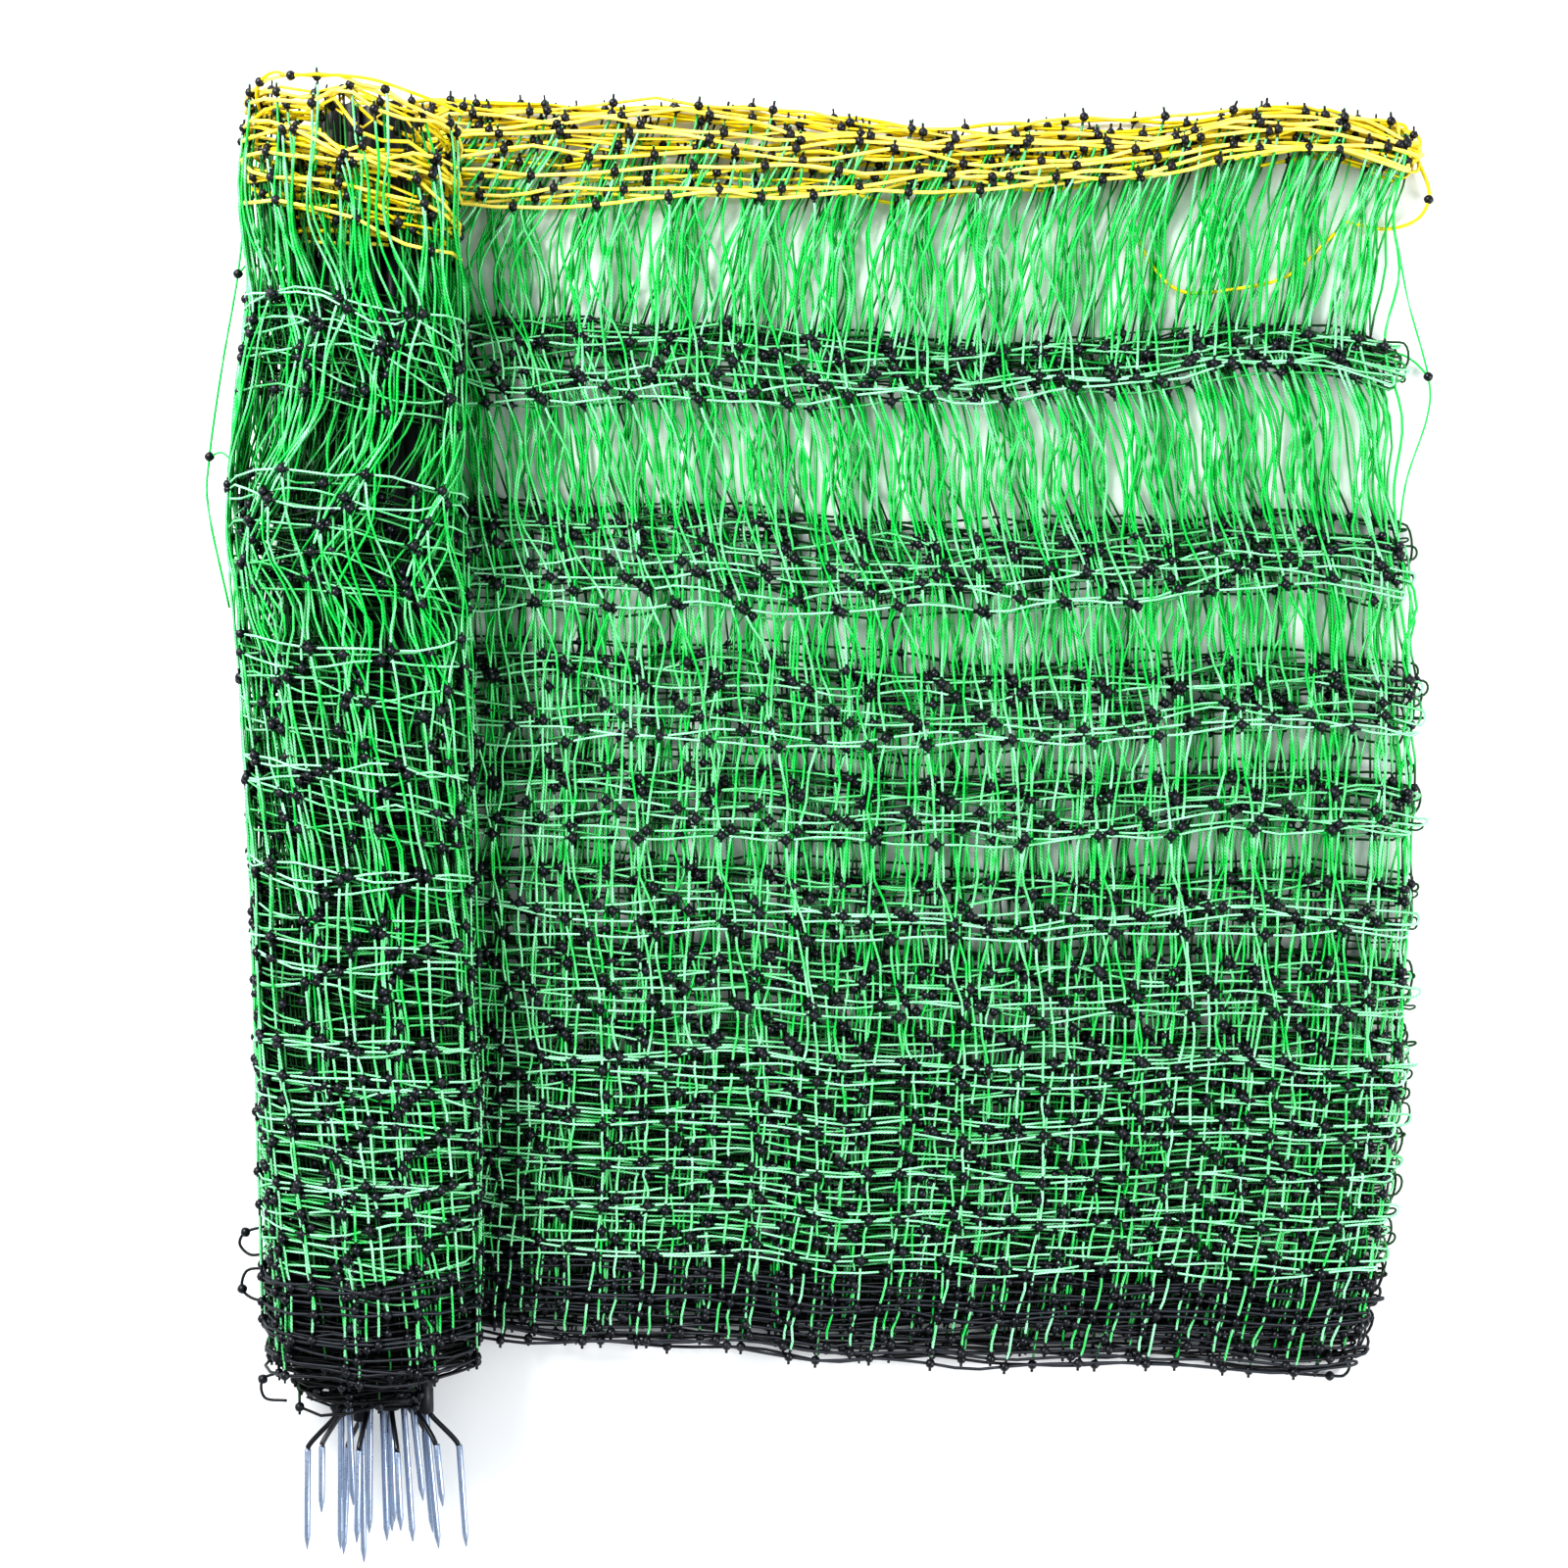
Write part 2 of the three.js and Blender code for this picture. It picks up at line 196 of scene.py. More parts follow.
# How far it bends the stays in a span of 50 mm, and by which power more in a taller one; then the
# shares of that which a layer's stays have in common, and each for itself. Of each pair the
# first number is the flat stack's and the second one the roll's.
BEND_SPAN = 50.0
BEND_GROWTH = 1.25
BEND_CHANCE = (2.0, 3.0)
LAYER_BEND_SHARE = (0.4, 0.2)
STAY_BEND_SHARE = (0.3, 0.12)
# Long waves in the heights of the strands: length of a wave, and how far it goes up and down
LONG_WAVES = ((430.0, 2.6), (250.0, 1.8), (160.0, 1.2))

# How far, least and most, a strand's loop goes beyond its fold, and how it leans up the page there
LOOP_REACH = (3.0, 13.0)
LOOP_DIRECTION = np.array([1.0, 0.15, 0.0])
LOOP_STEPS = 8

# Stations from one joint to the next, along the strands and along the stays in each span, where
# they are seen and where they lie deep; and the folds whose layers are seen neither on the flat
# stack nor on the roll
SEEN_STRAND_STEPS = 3
DEEP_STRAND_STEPS = 2
DEEP_FOLDS = slice(5, 11)
SEEN_STEPS = (3, 3, 3, 3, 3, 3, 4, 4, 5, 6, 8, 12, 13)
DEEP_STEPS = (2, 2, 2, 2, 2, 2, 3, 3, 4, 4, 5, 7, 8)
# How far up the flat stack the stays and joints begin that are made as seen ones, and how far
# into the roll they end
FLAT_STAYS_SEEN = 0.45
ROLL_STAYS_SEEN = 0.5
FLAT_JOINTS_SEEN = 0.6
ROLL_JOINTS_SEEN = 0.4
# Sides of a moulded joint and the levels of its rings in degrees: seen, deep and on a stray loop
SEEN_JOINT = (8, (-45, 0, 45))
DEEP_JOINT = (6, (-30, 30))
STRAY_JOINT = (12, (-65, -35, 0, 35, 65))

# The three tall spans at the top, by number: how far all their stays bow and how far they bend in
# an S on the flat stack, and the same on the roll; and how far more the stays of the topmost span
# bow towards the roll where they lie beside it
BENDS = {10: (1, 3, 7, 9), 11: (-5, 9, 15, 6), 12: (7, -10, -12, -7)}
NEAR_ROLL_BOW = 28.0

# The parting of the strands around the post tops that show through the roll's top edge: middles
# of the two openings, their width, how far they push a strand, and how far off they still do
POST_OPENINGS = ((-416, 628), (-366, 620))
OPENING_WIDTH = 15.0
OPENING_PUSH = 24.0
OPENING_REACH = 48.0

# Nine posts. A post's profile as distance and radius, from its foot up and from its top down: a
# flat foot with a rounded edge, the side with a shallow groove near each end, and a rounded edge
# around a shallow bore
POSTS = range(1, 10)
POST_FOOT = (
    (0.0, 5.2), (0.0, 7.2), (0.5, 8.2), (1.6, 9.0), (24.0, 9.0), (25.0, 8.6), (27.0, 8.6),
    (28.0, 9.0),
)
POST_TOP = (
    (30.0, 9.0), (29.0, 8.7), (27.5, 8.7), (26.5, 9.0), (2.0, 9.0), (0.6, 8.4), (0.0, 7.2),
    (0.0, 5.5), (3.0, 4.8),
)
# A spike's profile in the same way, from its point and from its root
SPIKE_POINT = ((0.0, 0.25), (1.2, 0.8), (11.0, 2.9), (13.0, 3.2))
SPIKE_ROOT = ((0.6, 3.2), (0.0, 2.8))
# A tread arm, and the corners of its curve: how far out two of them lie from the post's middle
# and two from the second spike's, and how far all four lie under the post's foot
TREAD_RADIUS = 2.5
TREAD_OUT = (5.7, 6.7, -1.0, 0.0)
TREAD_DROP = (0.6, 5.0, 26.0, 32.0)


def linear(hex_colour):
    """Linear colour of an sRGB hex value."""
    value = np.array([int(hex_colour[i:i + 2], 16) for i in (1, 3, 5)]) / 255
    low = value / 12.92
    high = ((value + 0.055) / 1.055) ** 2.4
    return tuple(float(v) for v in np.where(value <= 0.04045, low, high))


def length_property(name, description, millimetres):
    """A length that the user may change, shown in the scene's units."""
    return FloatProperty(
        name=name, description=description, default=millimetres * MM,
        min=0.0, unit="LENGTH", subtype="DISTANCE",
    )


def colour_property(name, description, hex_colour):
    """A colour that the user may change."""
    return FloatVectorProperty(
        name=name, description=description, default=linear(hex_colour),
        size=3, min=0.0, max=1.0, subtype="COLOR",
    )


class NettingSizes(bpy.types.PropertyGroup):
    """Sizes of the net's own parts"""

    stay_pitch: length_property("Stay pitch", "Distance from one stay to the next", 76.0)
    top_strand: length_property("Top strand", "Diameter of the yellow top strand", 3.8)
    strand: length_property("Strand", "Diameter of the green strands", 2.4)
    ground_strand: length_property("Ground strand", "Diameter of the black strands", 3.0)
    stay: length_property("Stay", "Diameter of the stays", 2.7)
    twist: length_property("Twist", "Length of one turn of the twisted filaments", 7.0)
    joint: length_property("Joint", "Diameter of the moulded ball at a crossing", 9.6)
    arm: length_property("Joint arm", "Reach of a joint's lugs from its middle", 5.2)
    stay_end: length_property("Stay end", "Length of stay beyond its last joint", 9.0)
    slack: FloatProperty(
        name="Slack", description="How far the stays bow between two strands",
        default=1.0, min=0.0, max=2.0, subtype="FACTOR",
    )


class NettingColours(bpy.types.PropertyGroup):
    """Colours of the net, the posts and the stage"""

    top: colour_property("Top strand", "Yellow of the top strand", "#FFEA10")
    top_shade: colour_property("Top strand shade", "Shade between its filaments", "#D8A800")
    green: colour_property("Green", "Green of the strands and stays", "#04D058")
    # Worn filaments and painted light are mixed towards this pale green: the top layers of the
    # stack as a painted highlight.
    green_light: colour_property("Green light", "Worn, pale filaments", "#BAFFD4")
    # This is painted shade between the filaments, and a third of it is the painted shade of the
    # deep layers.
    green_shade: colour_property("Green shade", "Shade between the filaments", "#02701F")
    ground: colour_property("Ground strand", "Black of the two lowest strands", "#0D1015")
    joint: colour_property("Joint", "Black of the moulded joints", "#12151C")
    post: colour_property("Post", "Black of the posts", "#12141A")
    tread: colour_property("Tread", "Black of the tread arms", "#15171D")
    zinc: colour_property("Zinc", "Galvanised steel of the spikes", "#B4C2D8")
    floor: colour_property("Floor", "Surface that the net lies on", "#F6F7F6")


# Mesh tools


def mesh_piece(name, points, faces, material, uv=None, marks=None):
    """A piece at the origin, from points in millimetres of the frame and arrays of faces; marks
    holds a number per point for each name that its material reads."""
    mesh = bpy.data.meshes.new(name)
    mesh.vertices.add(len(points))
    mesh.vertices.foreach_set("co", np.ascontiguousarray(points * MM, np.float32).ravel())
    corners = np.concatenate([block.ravel() for block in faces]).astype(np.int32)
    counts = np.concatenate([np.full(len(block), block.shape[1]) for block in faces])
    mesh.loops.add(len(corners))
    mesh.loops.foreach_set("vertex_index", corners)
    mesh.polygons.add(len(counts))
    mesh.polygons.foreach_set("loop_start", (np.cumsum(counts) - counts).astype(np.int32))
    mesh.polygons.foreach_set("use_smooth", np.full(len(counts), True))
    if uv is not None:
        layer = mesh.uv_layers.new(name="Twine")
        layer.data.foreach_set("uv", np.ascontiguousarray(uv, np.float32).ravel())
    for mark, values in (marks or {}).items():
        attribute = mesh.attributes.new(mark, "FLOAT", "POINT")
        attribute.data.foreach_set("value", np.ascontiguousarray(values, np.float32).ravel())
    mesh.update(calc_edges=True)
    mesh.validate()
    mesh.materials.append(material)
    piece = bpy.data.objects.new(name, mesh)
    bpy.context.scene.collection.objects.link(piece)
    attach(piece, "root")
    return piece


def unit(vectors):
    """Vectors of length one."""
    return vectors / np.maximum(np.linalg.norm(vectors, axis=-1, keepdims=True), 1e-9)


def sweep(centre, normal, radius, sides, turn=1.0, axis=None):
    """Round rods along many lines at once, closed at both ends.

    At each station the corners stand on a circle around the line, in the plane across its
    direction, or across the axis if one is given. The UV map runs around the rod and, in whole
    turns of the twist, along it.
    """
    rods, stations = centre.shape[:2]
    ahead = unit(np.gradient(centre, axis=1)) if axis is None else axis + 0 * centre
    side = unit(np.cross(normal, ahead))
    up = np.cross(ahead, side)
    angle = 2 * np.pi * np.arange(sides) / sides
    reach = np.broadcast_to(radius, (rods, stations))[:, :, None, None]
    ring = np.cos(angle)[:, None] * side[:, :, None] + np.sin(angle)[:, None] * up[:, :, None]
    points = centre[:, :, None] + reach * ring

    index = np.arange(rods * stations * sides).reshape(rods, stations, sides)
    after = np.roll(index, -1, axis=2)
    quads = np.stack([index[:, :-1], after[:, :-1], after[:, 1:], index[:, 1:]], axis=-1)
    caps = np.concatenate([index[:, 0, ::-1], index[:, -1]])

    steps = np.linalg.norm(np.diff(centre, axis=1), axis=-1)
    along = np.concatenate([np.zeros((rods, 1)), np.cumsum(steps, axis=1)], axis=1) / turn
    low = np.broadcast_to(np.arange(sides) / sides, (rods, stations - 1, sides))
    high = low + 1 / sides
    first = np.broadcast_to(along[:, :-1, None], low.shape)
    last = np.broadcast_to(along[:, 1:, None], low.shape)
    quad_uv = np.stack([low, first, high, first, high, last, low, last], axis=-1).reshape(-1, 2)
    uv = np.concatenate([quad_uv, np.zeros((caps.size, 2))])
    return points.reshape(-1, 3), [quads.reshape(-1, 4), caps], uv


def bezier(corners, steps):
    """Cubic curve drawn towards four corners, at even steps of t from 0 to 1: they are weighed
    with the four terms of the cube of (1 - t) + t."""
    first, second, third, last = corners
    t = np.linspace(0, 1, steps)[:, None]
    start = first * (1 - t) ** 3 + second * 3 * t * (1 - t) ** 2
    return start + third * 3 * t * t * (1 - t) + last * t ** 3


def lerp(low, high, share):
    """Straight-line mix of two values."""
    return low + (high - low) * share


def smoothstep(low, high, value):
    """Rises from 0 to 1 between two values, flat at both ends."""
    share = np.clip((value - low) / (high - low), 0, 1)
    return share * share * (3 - 2 * share)


def read_table(table, column, at, spread):
    """A table's column at a place, its corners rounded: the mean of five readings around it."""
    shifts = spread * np.array([-1, -0.5, 0, 0.5, 1])
    return np.mean([np.interp(at + s, table[:, 0], table[:, column]) for s in shifts], axis=0)


# The paths of the layers

# Share of the way from the first layer, the lowest on the flat stack and the outermost on the
# roll, to the last one
DEPTH = np.arange(LAYERS) / (LAYERS - 1)

# Each layer lies a little lower on the page than the one before it, until a new run of layers
# begins at the top again. How far down a layer lies from 0 to 1, on the flat stack, where the
# layers of the lower three quarters keep nearer the top, and on the roll.
RUN_OF_LAYERS = 6.4
FLAT_SLIP = 1 - (LAYERS - 1 - np.arange(LAYERS)) % RUN_OF_LAYERS / RUN_OF_LAYERS
FLAT_SLIP = np.where(DEPTH > 0.75, FLAT_SLIP, FLAT_SLIP ** 1.7)
ROLL_SLIP = np.arange(LAYERS) % RUN_OF_LAYERS / RUN_OF_LAYERS
# How far outside the middle of the band each layer lies
OFFSET = HALF - ROOM_BELOW - DEPTH * (STACK - ROOM_BELOW - ROOM_ABOVE)


def path_lengths():
    """Length of each stretch of each layer's path, halfway up the net, and their running sum."""
    left, right, fold = (np.interp(0.0, SECTIONS[:, 0], SECTIONS[:, c]) for c in (1, 2, 3))
    core = np.interp(0.0, *np.transpose(CORE_LEFT))
    shortfall = np.repeat(FOLD_SHORTFALL, 2)
    flat = np.ones(LAYERS)
    lengths = np.stack([
        fold - shortfall - right - FLAT_START,
        (right + FLAT_START - left) * flat,
        np.pi * (LEFT_RADIUS + OFFSET),
        (right - left) * flat,
        np.pi * (RIGHT_RADIUS + OFFSET),
        (right - core) * flat,
        np.pi * (INNER_RADIUS + OFFSET),
        (right - INNER_STOP - core) * flat,
    ], axis=1)
    return np.concatenate([np.zeros((LAYERS, 1)), np.cumsum(lengths, axis=1)], axis=1)


PATH_ENDS = path_lengths()


def place_of(layer, run):
    """Place on a layer's path, from the length run along it from its fold: the number of whole
    stretches passed, plus the share of the next one."""
    ends = PATH_ENDS[layer]
    stretch = np.sum(run[..., None] >= ends[..., 1:8], axis=-1)
    start = np.take_along_axis(ends, stretch[..., None], -1)[..., 0]
    stop = np.take_along_axis(ends, stretch[..., None] + 1, -1)[..., 0]
    return stretch + (run - start) / (stop - start)


def lay(layer, place, y, lift=0.0):
    """Points of a layer and its outward directions, for places on its path and heights y.

    The path goes straight over the floor from the fold to the roll and on under it, half round
    the left axis, straight over the top, half round the right axis, straight back over the flat
    part, half round the posts and straight over them. A layer lies its offset outside the middle
    of the band, with the roll's lift from the left axis on, and lift is added to that.
    """
    left, right, fold, crown, swell = (
        read_table(SECTIONS, c, y, SECTION_ROUNDING) for c in range(1, 6)
    )
    core = np.interp(y, *np.transpose(CORE_LEFT))
    fold = fold - FOLD_SHORTFALL[layer // 2]
    start = right + FLAT_START
    offset = OFFSET[layer] + lift + ROLL_LIFT * smoothstep(2.0, 2.4, place)
    stretch = np.clip(np.floor(place), 0, 7).astype(int)
    share = place - stretch
    sine, cosine = np.sin(np.pi * share), np.cos(np.pi * share)
    rise = crown * 4 * share * (1 - share)
    flat = np.maximum(HALF - offset, ROOM_BELOW)
    swollen = flat * lerp(swell * MORE_SWELL, 1.0, smoothstep(SWELL_ENDS, 1.0, share))
    zero, one = np.zeros_like(share), np.ones_like(share)
    x = np.choose(stretch, [
        lerp(fold, start, share),
        lerp(start, left, share),
        left - (LEFT_RADIUS + offset) * sine,
        lerp(left, right, share),
        right + (RIGHT_RADIUS + offset) * sine,
        lerp(right, core, share),
        core - (INNER_RADIUS + offset) * sine,
        lerp(core, right - INNER_STOP, share),
    ])
    z = np.choose(stretch, [
        swollen,
        flat,
        ROLL_HEIGHT / 2 - (LEFT_RADIUS + offset) * cosine,
        ROLL_TOP + offset + rise,
        (ROLL_TOP + RIGHT_FLOOR) / 2 + (RIGHT_RADIUS + offset) * cosine,
        RIGHT_FLOOR - offset,
        (INNER_TOP + RIGHT_FLOOR) / 2 - (INNER_RADIUS + offset) * cosine,
        INNER_TOP + offset + rise,
    ])
    out_x = np.choose(stretch, [zero, zero, -sine, zero, sine, zero, -sine, zero])
    out_z = np.choose(stretch, [-one, -one, -cosine, one, cosine, -one, -cosine, one])
    points = np.stack([x, y + zero, z], axis=-1) + NET_ZERO
    return points, np.stack([out_x, zero, out_z], axis=-1)


class Net:
    """The net as it was folded: where each strand and stay lies on the paths of the layers."""

    def __init__(self, pitch):
        rng = np.random.default_rng(SEED)
        self.pitch = pitch
        strands = len(STRANDS)
        count = np.arange(LAYERS)
        turn = CHAIN[count % len(CHAIN)] + CHAIN_SHIFT * (count // len(CHAIN))
        chain = (turn[-1] - turn) * pitch / len(CHAIN)
        self.phase = (FIRST_STAY + chain + rng.normal(0, LAYER_STAYS_CHANCE, LAYERS)) % pitch
        waves = len(LONG_WAVES)
        self.layer_wave = rng.uniform(0, 2 * np.pi, (waves, LAYERS))
        self.strand_wave = rng.uniform(0, 2 * np.pi, (waves, LAYERS, strands))
        between = (LAYERS, strands, STAYS + 3)
        self.jitter = rng.normal(0, JOINT_CHANCE, between)
        self.bow = rng.normal(0, BOW_CHANCE, between)
        self.rise = rng.normal(0, LIFT_CHANCE, between)
        self.stagger = rng.normal(0, 1, (LAYERS, strands)) * (2 + 5 * (1 - DEPTH[:, None]))
        self.slip = rng.normal(0, LAYER_CHANCE, LAYERS) * (1 - DEPTH ** 2)
        self.stays = self.stay_runs(rng)
        self.kept = self.phase[:, None] + pitch * np.arange(STAYS) < PATH_ENDS[:, -1:] - 4

    def stay_runs(self, rng):
        """Run of each crossing: the stays' even pitch, shifted by their lean and by chance.

        In a tall span a layer's stays wander off together and each goes its own way, both in
        proportion to the span. The last layer, which shows on the flat stack, doesn't wander. On
        the roll all wander less, and the first layers, which show there, least.
        """
        layer = np.arange(LAYERS)[:, None]
        count = np.arange(STAYS)
        run = self.phase[:, None] + self.pitch * count
        run = run + rng.normal(0, STAY_CHANCE, (LAYERS, STAYS))
        on_roll = smoothstep(0.5, 2.6, place_of(layer, run))[:, :, None]
        span = np.gradient(STRANDS[:, 0]) / LEAN_SPAN
        wander = rng.normal(0, 1, (LAYERS, len(STRANDS))) * span * LAYER_LEAN_CHANCE
        wander[-1] = 0
        own = rng.normal(0, 1, (LAYERS, STAYS, len(STRANDS))) * span
        own = own * lerp(*STAY_LEAN_CHANCE, on_roll)
        flat_lean = np.where(layer == LAYERS - 1, STRANDS[:, 3], STRANDS[:, 4]) + wander
        roll_lean = STRANDS[:, 5] + wander * np.minimum(layer, 3) / 8
        shift = lerp(-flat_lean[:, None], roll_lean[:, None], on_roll) + own
        return np.maximum(run[:, :, None] + shift, 3.0 + count[:, None])

    def strand(self, layer, strand, run):
        """Height of a strand and its lift, for a length run along its layer.

        The strand keeps its share of the way between the net's edges, as the table says on the
        flat stack and as in the hanging net on the roll. Long waves of the layer and of the
        strand itself, a kink at each joint and a bow between joints are added.
        """
        place = place_of(layer, run)
        depth = lerp(FLAT_SLIP[layer], ROLL_SLIP[layer], smoothstep(1.0, 2.0, place))
        edges = [read_table(EDGES, c, place, EDGE_ROUNDING) for c in (1, 2, 3, 4)]
        top, bottom = lerp(edges[0], edges[1], depth), lerp(edges[2], edges[3], depth)
        loose = STRANDS[strand, 2] * lerp(1.0, 1.7, smoothstep(1.6, 2.6, place))
        share = lerp(
            FLAT_SHARES[strand], STRANDS[strand, 0] / NET_HEIGHT, smoothstep(1.0, 2.0, place)
        )
        height = lerp(bottom, top, share)
        height = height + (0.5 - depth) * STRANDS[strand, 1] + self.stagger[layer, strand]
        height = height + self.slip[layer] * (1 - smoothstep(0.8, 1.6, place))
        for number, (length, size) in enumerate(LONG_WAVES):
            wave = 2 * np.pi * run / length
            height = height + size * np.sin(wave + self.layer_wave[number][layer])
            own = self.strand_wave[number][layer, strand]
            height = height + 0.8 * size * loose * np.sin(1.3 * wave + own)
        step = (run - self.phase[layer]) / self.pitch
        before = np.clip(np.floor(step).astype(int) + 1, 0, STAYS + 1)
        share = step - np.floor(step)
        arch = np.sin(np.pi * share)
        kink = lerp(
            self.jitter[layer, strand, before], self.jitter[layer, strand, before + 1], share
        )
        height = height + loose * (kink + self.bow[layer, strand, before] * arch)
        return height, self.rise[layer, strand, before] * arch


def parted(points, place, chosen=True):
    """Points over the top of the roll, pushed apart up and down around the openings that show
    the posts' tops."""
    over = (place > 3) & (place < 4) & chosen
    for x, y in POST_OPENINGS:
        near = np.exp(-((points[..., 0] - NET_ZERO[0] - x) / OPENING_WIDTH) ** 2)
        off = points[..., 1] - NET_ZERO[1] - y
        push = OPENING_PUSH * near * np.maximum(0, 1 - np.abs(off) / OPENING_REACH) * over
        points[..., 1] += np.where(off > 0, push, -push)
    return points


def net_of(context):
    """The net's layout for the sizes that are set."""
    return Net(context.scene.netting_sizes.stay_pitch / MM)


def rolled(net):
    """Which stays lie on the roll halfway up the net, by layer and stay."""
    return place_of(np.arange(LAYERS)[:, None], net.stays[:, :, len(STRANDS) // 2 - 1]) > 1.0


def deepness(layer, place):
    """How far a layer lies below what is seen from above: it is the last layer that shows on the
    flat stack, and the first one on the roll, and nothing shows that lies inside the roll."""
    # This depth sets the painted shade of the deep layers in the material.
    deep = lerp(1 - DEPTH[layer], DEPTH[layer], smoothstep(1.0, 1.9, place))
    return np.where(place > 5.0, 1.0, deep)


def strand_lines(net, strands, steps):
    """Middle lines of strands, with the outward direction and the marks at each station.

    The stations stand at the joints and evenly between them. Two layers that share a fold are
    one line: it comes along the lower layer, turns back in a small loop beyond the fold, and
    goes along the upper one. The marks are gap, the distance to the nearest joint, and deep, how
    far the station lies below what is seen.
    """
    end = PATH_ENDS[:, -1][:, None, None]
    joints = np.swapaxes(net.stays[:, :, strands], 1, 2)
    joints = np.minimum(joints, end - 2.0 * np.arange(STAYS, 0, -1))
    joints = np.concatenate([0 * joints[:, :, :1], joints, 0 * joints[:, :, :1] + end], axis=2)
    share = np.arange(steps) / steps
    run = lerp(joints[:, :, :-1, None], joints[:, :, 1:, None], share)
    gap = np.minimum(share, 1 - share) * np.diff(joints, axis=2)[..., None]
    gap[:, :, 0, 0] = net.pitch
    run = np.concatenate([run.reshape(*run.shape[:2], -1), joints[:, :, -1:]], axis=2)
    gap = np.concatenate([gap.reshape(*gap.shape[:2], -1), 0 * joints[:, :, -1:]], axis=2)
    layer = np.broadcast_to(np.arange(LAYERS)[:, None, None], run.shape)
    strand = np.broadcast_to(np.array(strands)[None, :, None], run.shape)
    place = place_of(layer, run)
    height, lift = net.strand(layer, strand, run)
    points, outward = lay(layer, place, height, lift)
    points = parted(points, place, strand == YELLOW_STRANDS[0])
    deep = deepness(layer, place)

    rng = np.random.default_rng(SEED + 1)
    reach = rng.uniform(*LOOP_REACH, (LAYERS // 2, len(strands), 1, 1)) * LOOP_DIRECTION
    near, far = points[0::2, :, :1], points[1::2, :, :1]
    loop = bezier([near, near + reach, far + reach, far], LOOP_STEPS)[:, :, 1:-1]
    loop_out = np.broadcast_to([0.0, 0.0, -1.0], loop.shape)
    loop_gap = np.full(loop.shape[:3], net.pitch)
    loop_deep = 0 * loop_gap + deep[1::2, :, :1]

    def joined(values, between):
        """The lower layer's values backwards, the loop's, and the upper layer's."""
        line = np.concatenate([values[0::2, :, ::-1], between, values[1::2]], axis=2)
        return line.reshape(-1, *line.shape[2:])

    marks = {"gap": joined(gap, loop_gap), "deep": joined(deep, loop_deep)}
    return joined(points, loop), joined(outward, loop_out), marks


def crossings(net):
    """Layer, height and lift of each joint, by layer, stay and strand."""
    shape = net.stays.shape
    layer = np.broadcast_to(np.arange(LAYERS)[:, None, None], shape)
    strand = np.broadcast_to(np.arange(len(STRANDS)), shape)
    height, lift = net.strand(layer, strand, net.stays)
    return layer, height, lift


def stay_lines(net, slack, end, steps):
    """Middle lines of all stays, with the outward direction and the marks at each station.

    Between two joints the run follows the straight way, plus a bow (sine squared) and an S (sine
    times sine of the double angle), which both leave the joints straight on. All the stays of a
    layer bend alike by chance, and each a little differently, both more in a taller span. An
    open, tall span counts as less deep.
    """
    layer, height, lift = crossings(net)
    rng = np.random.default_rng(SEED + 2)
    gaps = np.diff(STRANDS[:, 0])
    on_roll = smoothstep(0.8, 1.8, place_of(layer[:, :, 0], net.stays[:, :, 0]))[:, :, None, None]
    flat_bend, roll_bend = np.zeros((len(gaps), 2)), np.zeros((len(gaps), 2))
    for tall, bends in BENDS.items():
        flat_bend[tall], roll_bend[tall] = bends[:2], bends[2:]
    room = slack * (gaps / BEND_SPAN)[:, None] ** BEND_GROWTH * lerp(*BEND_CHANCE, on_roll)
    common = rng.normal(0, 1, (LAYERS, 1, len(gaps), 2))
    own = rng.normal(0, 1, (LAYERS, STAYS, len(gaps), 2))
    chance = lerp(*LAYER_BEND_SHARE, on_roll) * common + lerp(*STAY_BEND_SHARE, on_roll) * own
    bend = room * chance + slack * lerp(flat_bend, roll_bend, on_roll)
    place = place_of(layer[:, :, 0], net.stays[:, :, -1])
    by_roll = smoothstep(0.78, 0.95, place) * (1 - smoothstep(1.05, 1.4, place))
    bend[:, :, -1, 0] += slack * NEAR_ROLL_BOW * by_roll
    arch = rng.uniform(-0.5, 1.0, (LAYERS, STAYS, len(gaps))) * np.minimum(gaps / 60, 2.2)
    top = rng.normal(0, 1.2, (LAYERS, STAYS, 1))

    span = np.repeat(np.arange(len(gaps)), steps)
    share = np.concatenate([np.arange(count) / count for count in steps])
    sine = np.sin(np.pi * share)

    def between(values):
        """Values at the joints, followed straight from each to the next."""
        return lerp(values[:, :, span], values[:, :, span + 1], share)

    run = between(net.stays) + bend[:, :, span, 0] * sine ** 2
    run = run + bend[:, :, span, 1] * sine * np.sin(2 * np.pi * share)
    first, last, foot = net.stays[:, :, :1], net.stays[:, :, -1:], 0.8 * end
    run = np.concatenate([first, run, last, last + top], axis=2)
    first, last = height[:, :, :1], height[:, :, -1:]
    high = np.concatenate([first - foot, between(height), last, last + end], axis=2)
    first, last = lift[:, :, :1], lift[:, :, -1:]
    out = np.concatenate([first, between(lift) + arch[:, :, span] * sine, last, last], axis=2)
    gap = np.concatenate([[foot], gaps[span] * np.minimum(share, 1 - share), [0, end]])
    opening = np.sqrt(sine) * np.minimum(1, (gaps[span] / 105) ** 2)
    opening = np.concatenate([[0], opening, [0, 0]])
    layer = np.broadcast_to(layer[:, :, :1], run.shape)
    place = place_of(layer, run)
    points, outward = lay(layer, place, high, out)
    points = parted(points, place)
    # deep sets how much painted shade a stay gets: the open middle of a tall span gets less, and
    # on the roll the opening lowers it less.
    deep = deepness(layer, place) * (1 - opening * lerp(1.0, 0.7, smoothstep(0.9, 1.6, place)))
    return points, outward, {"gap": np.broadcast_to(gap, run.shape), "deep": deep}


# Materials


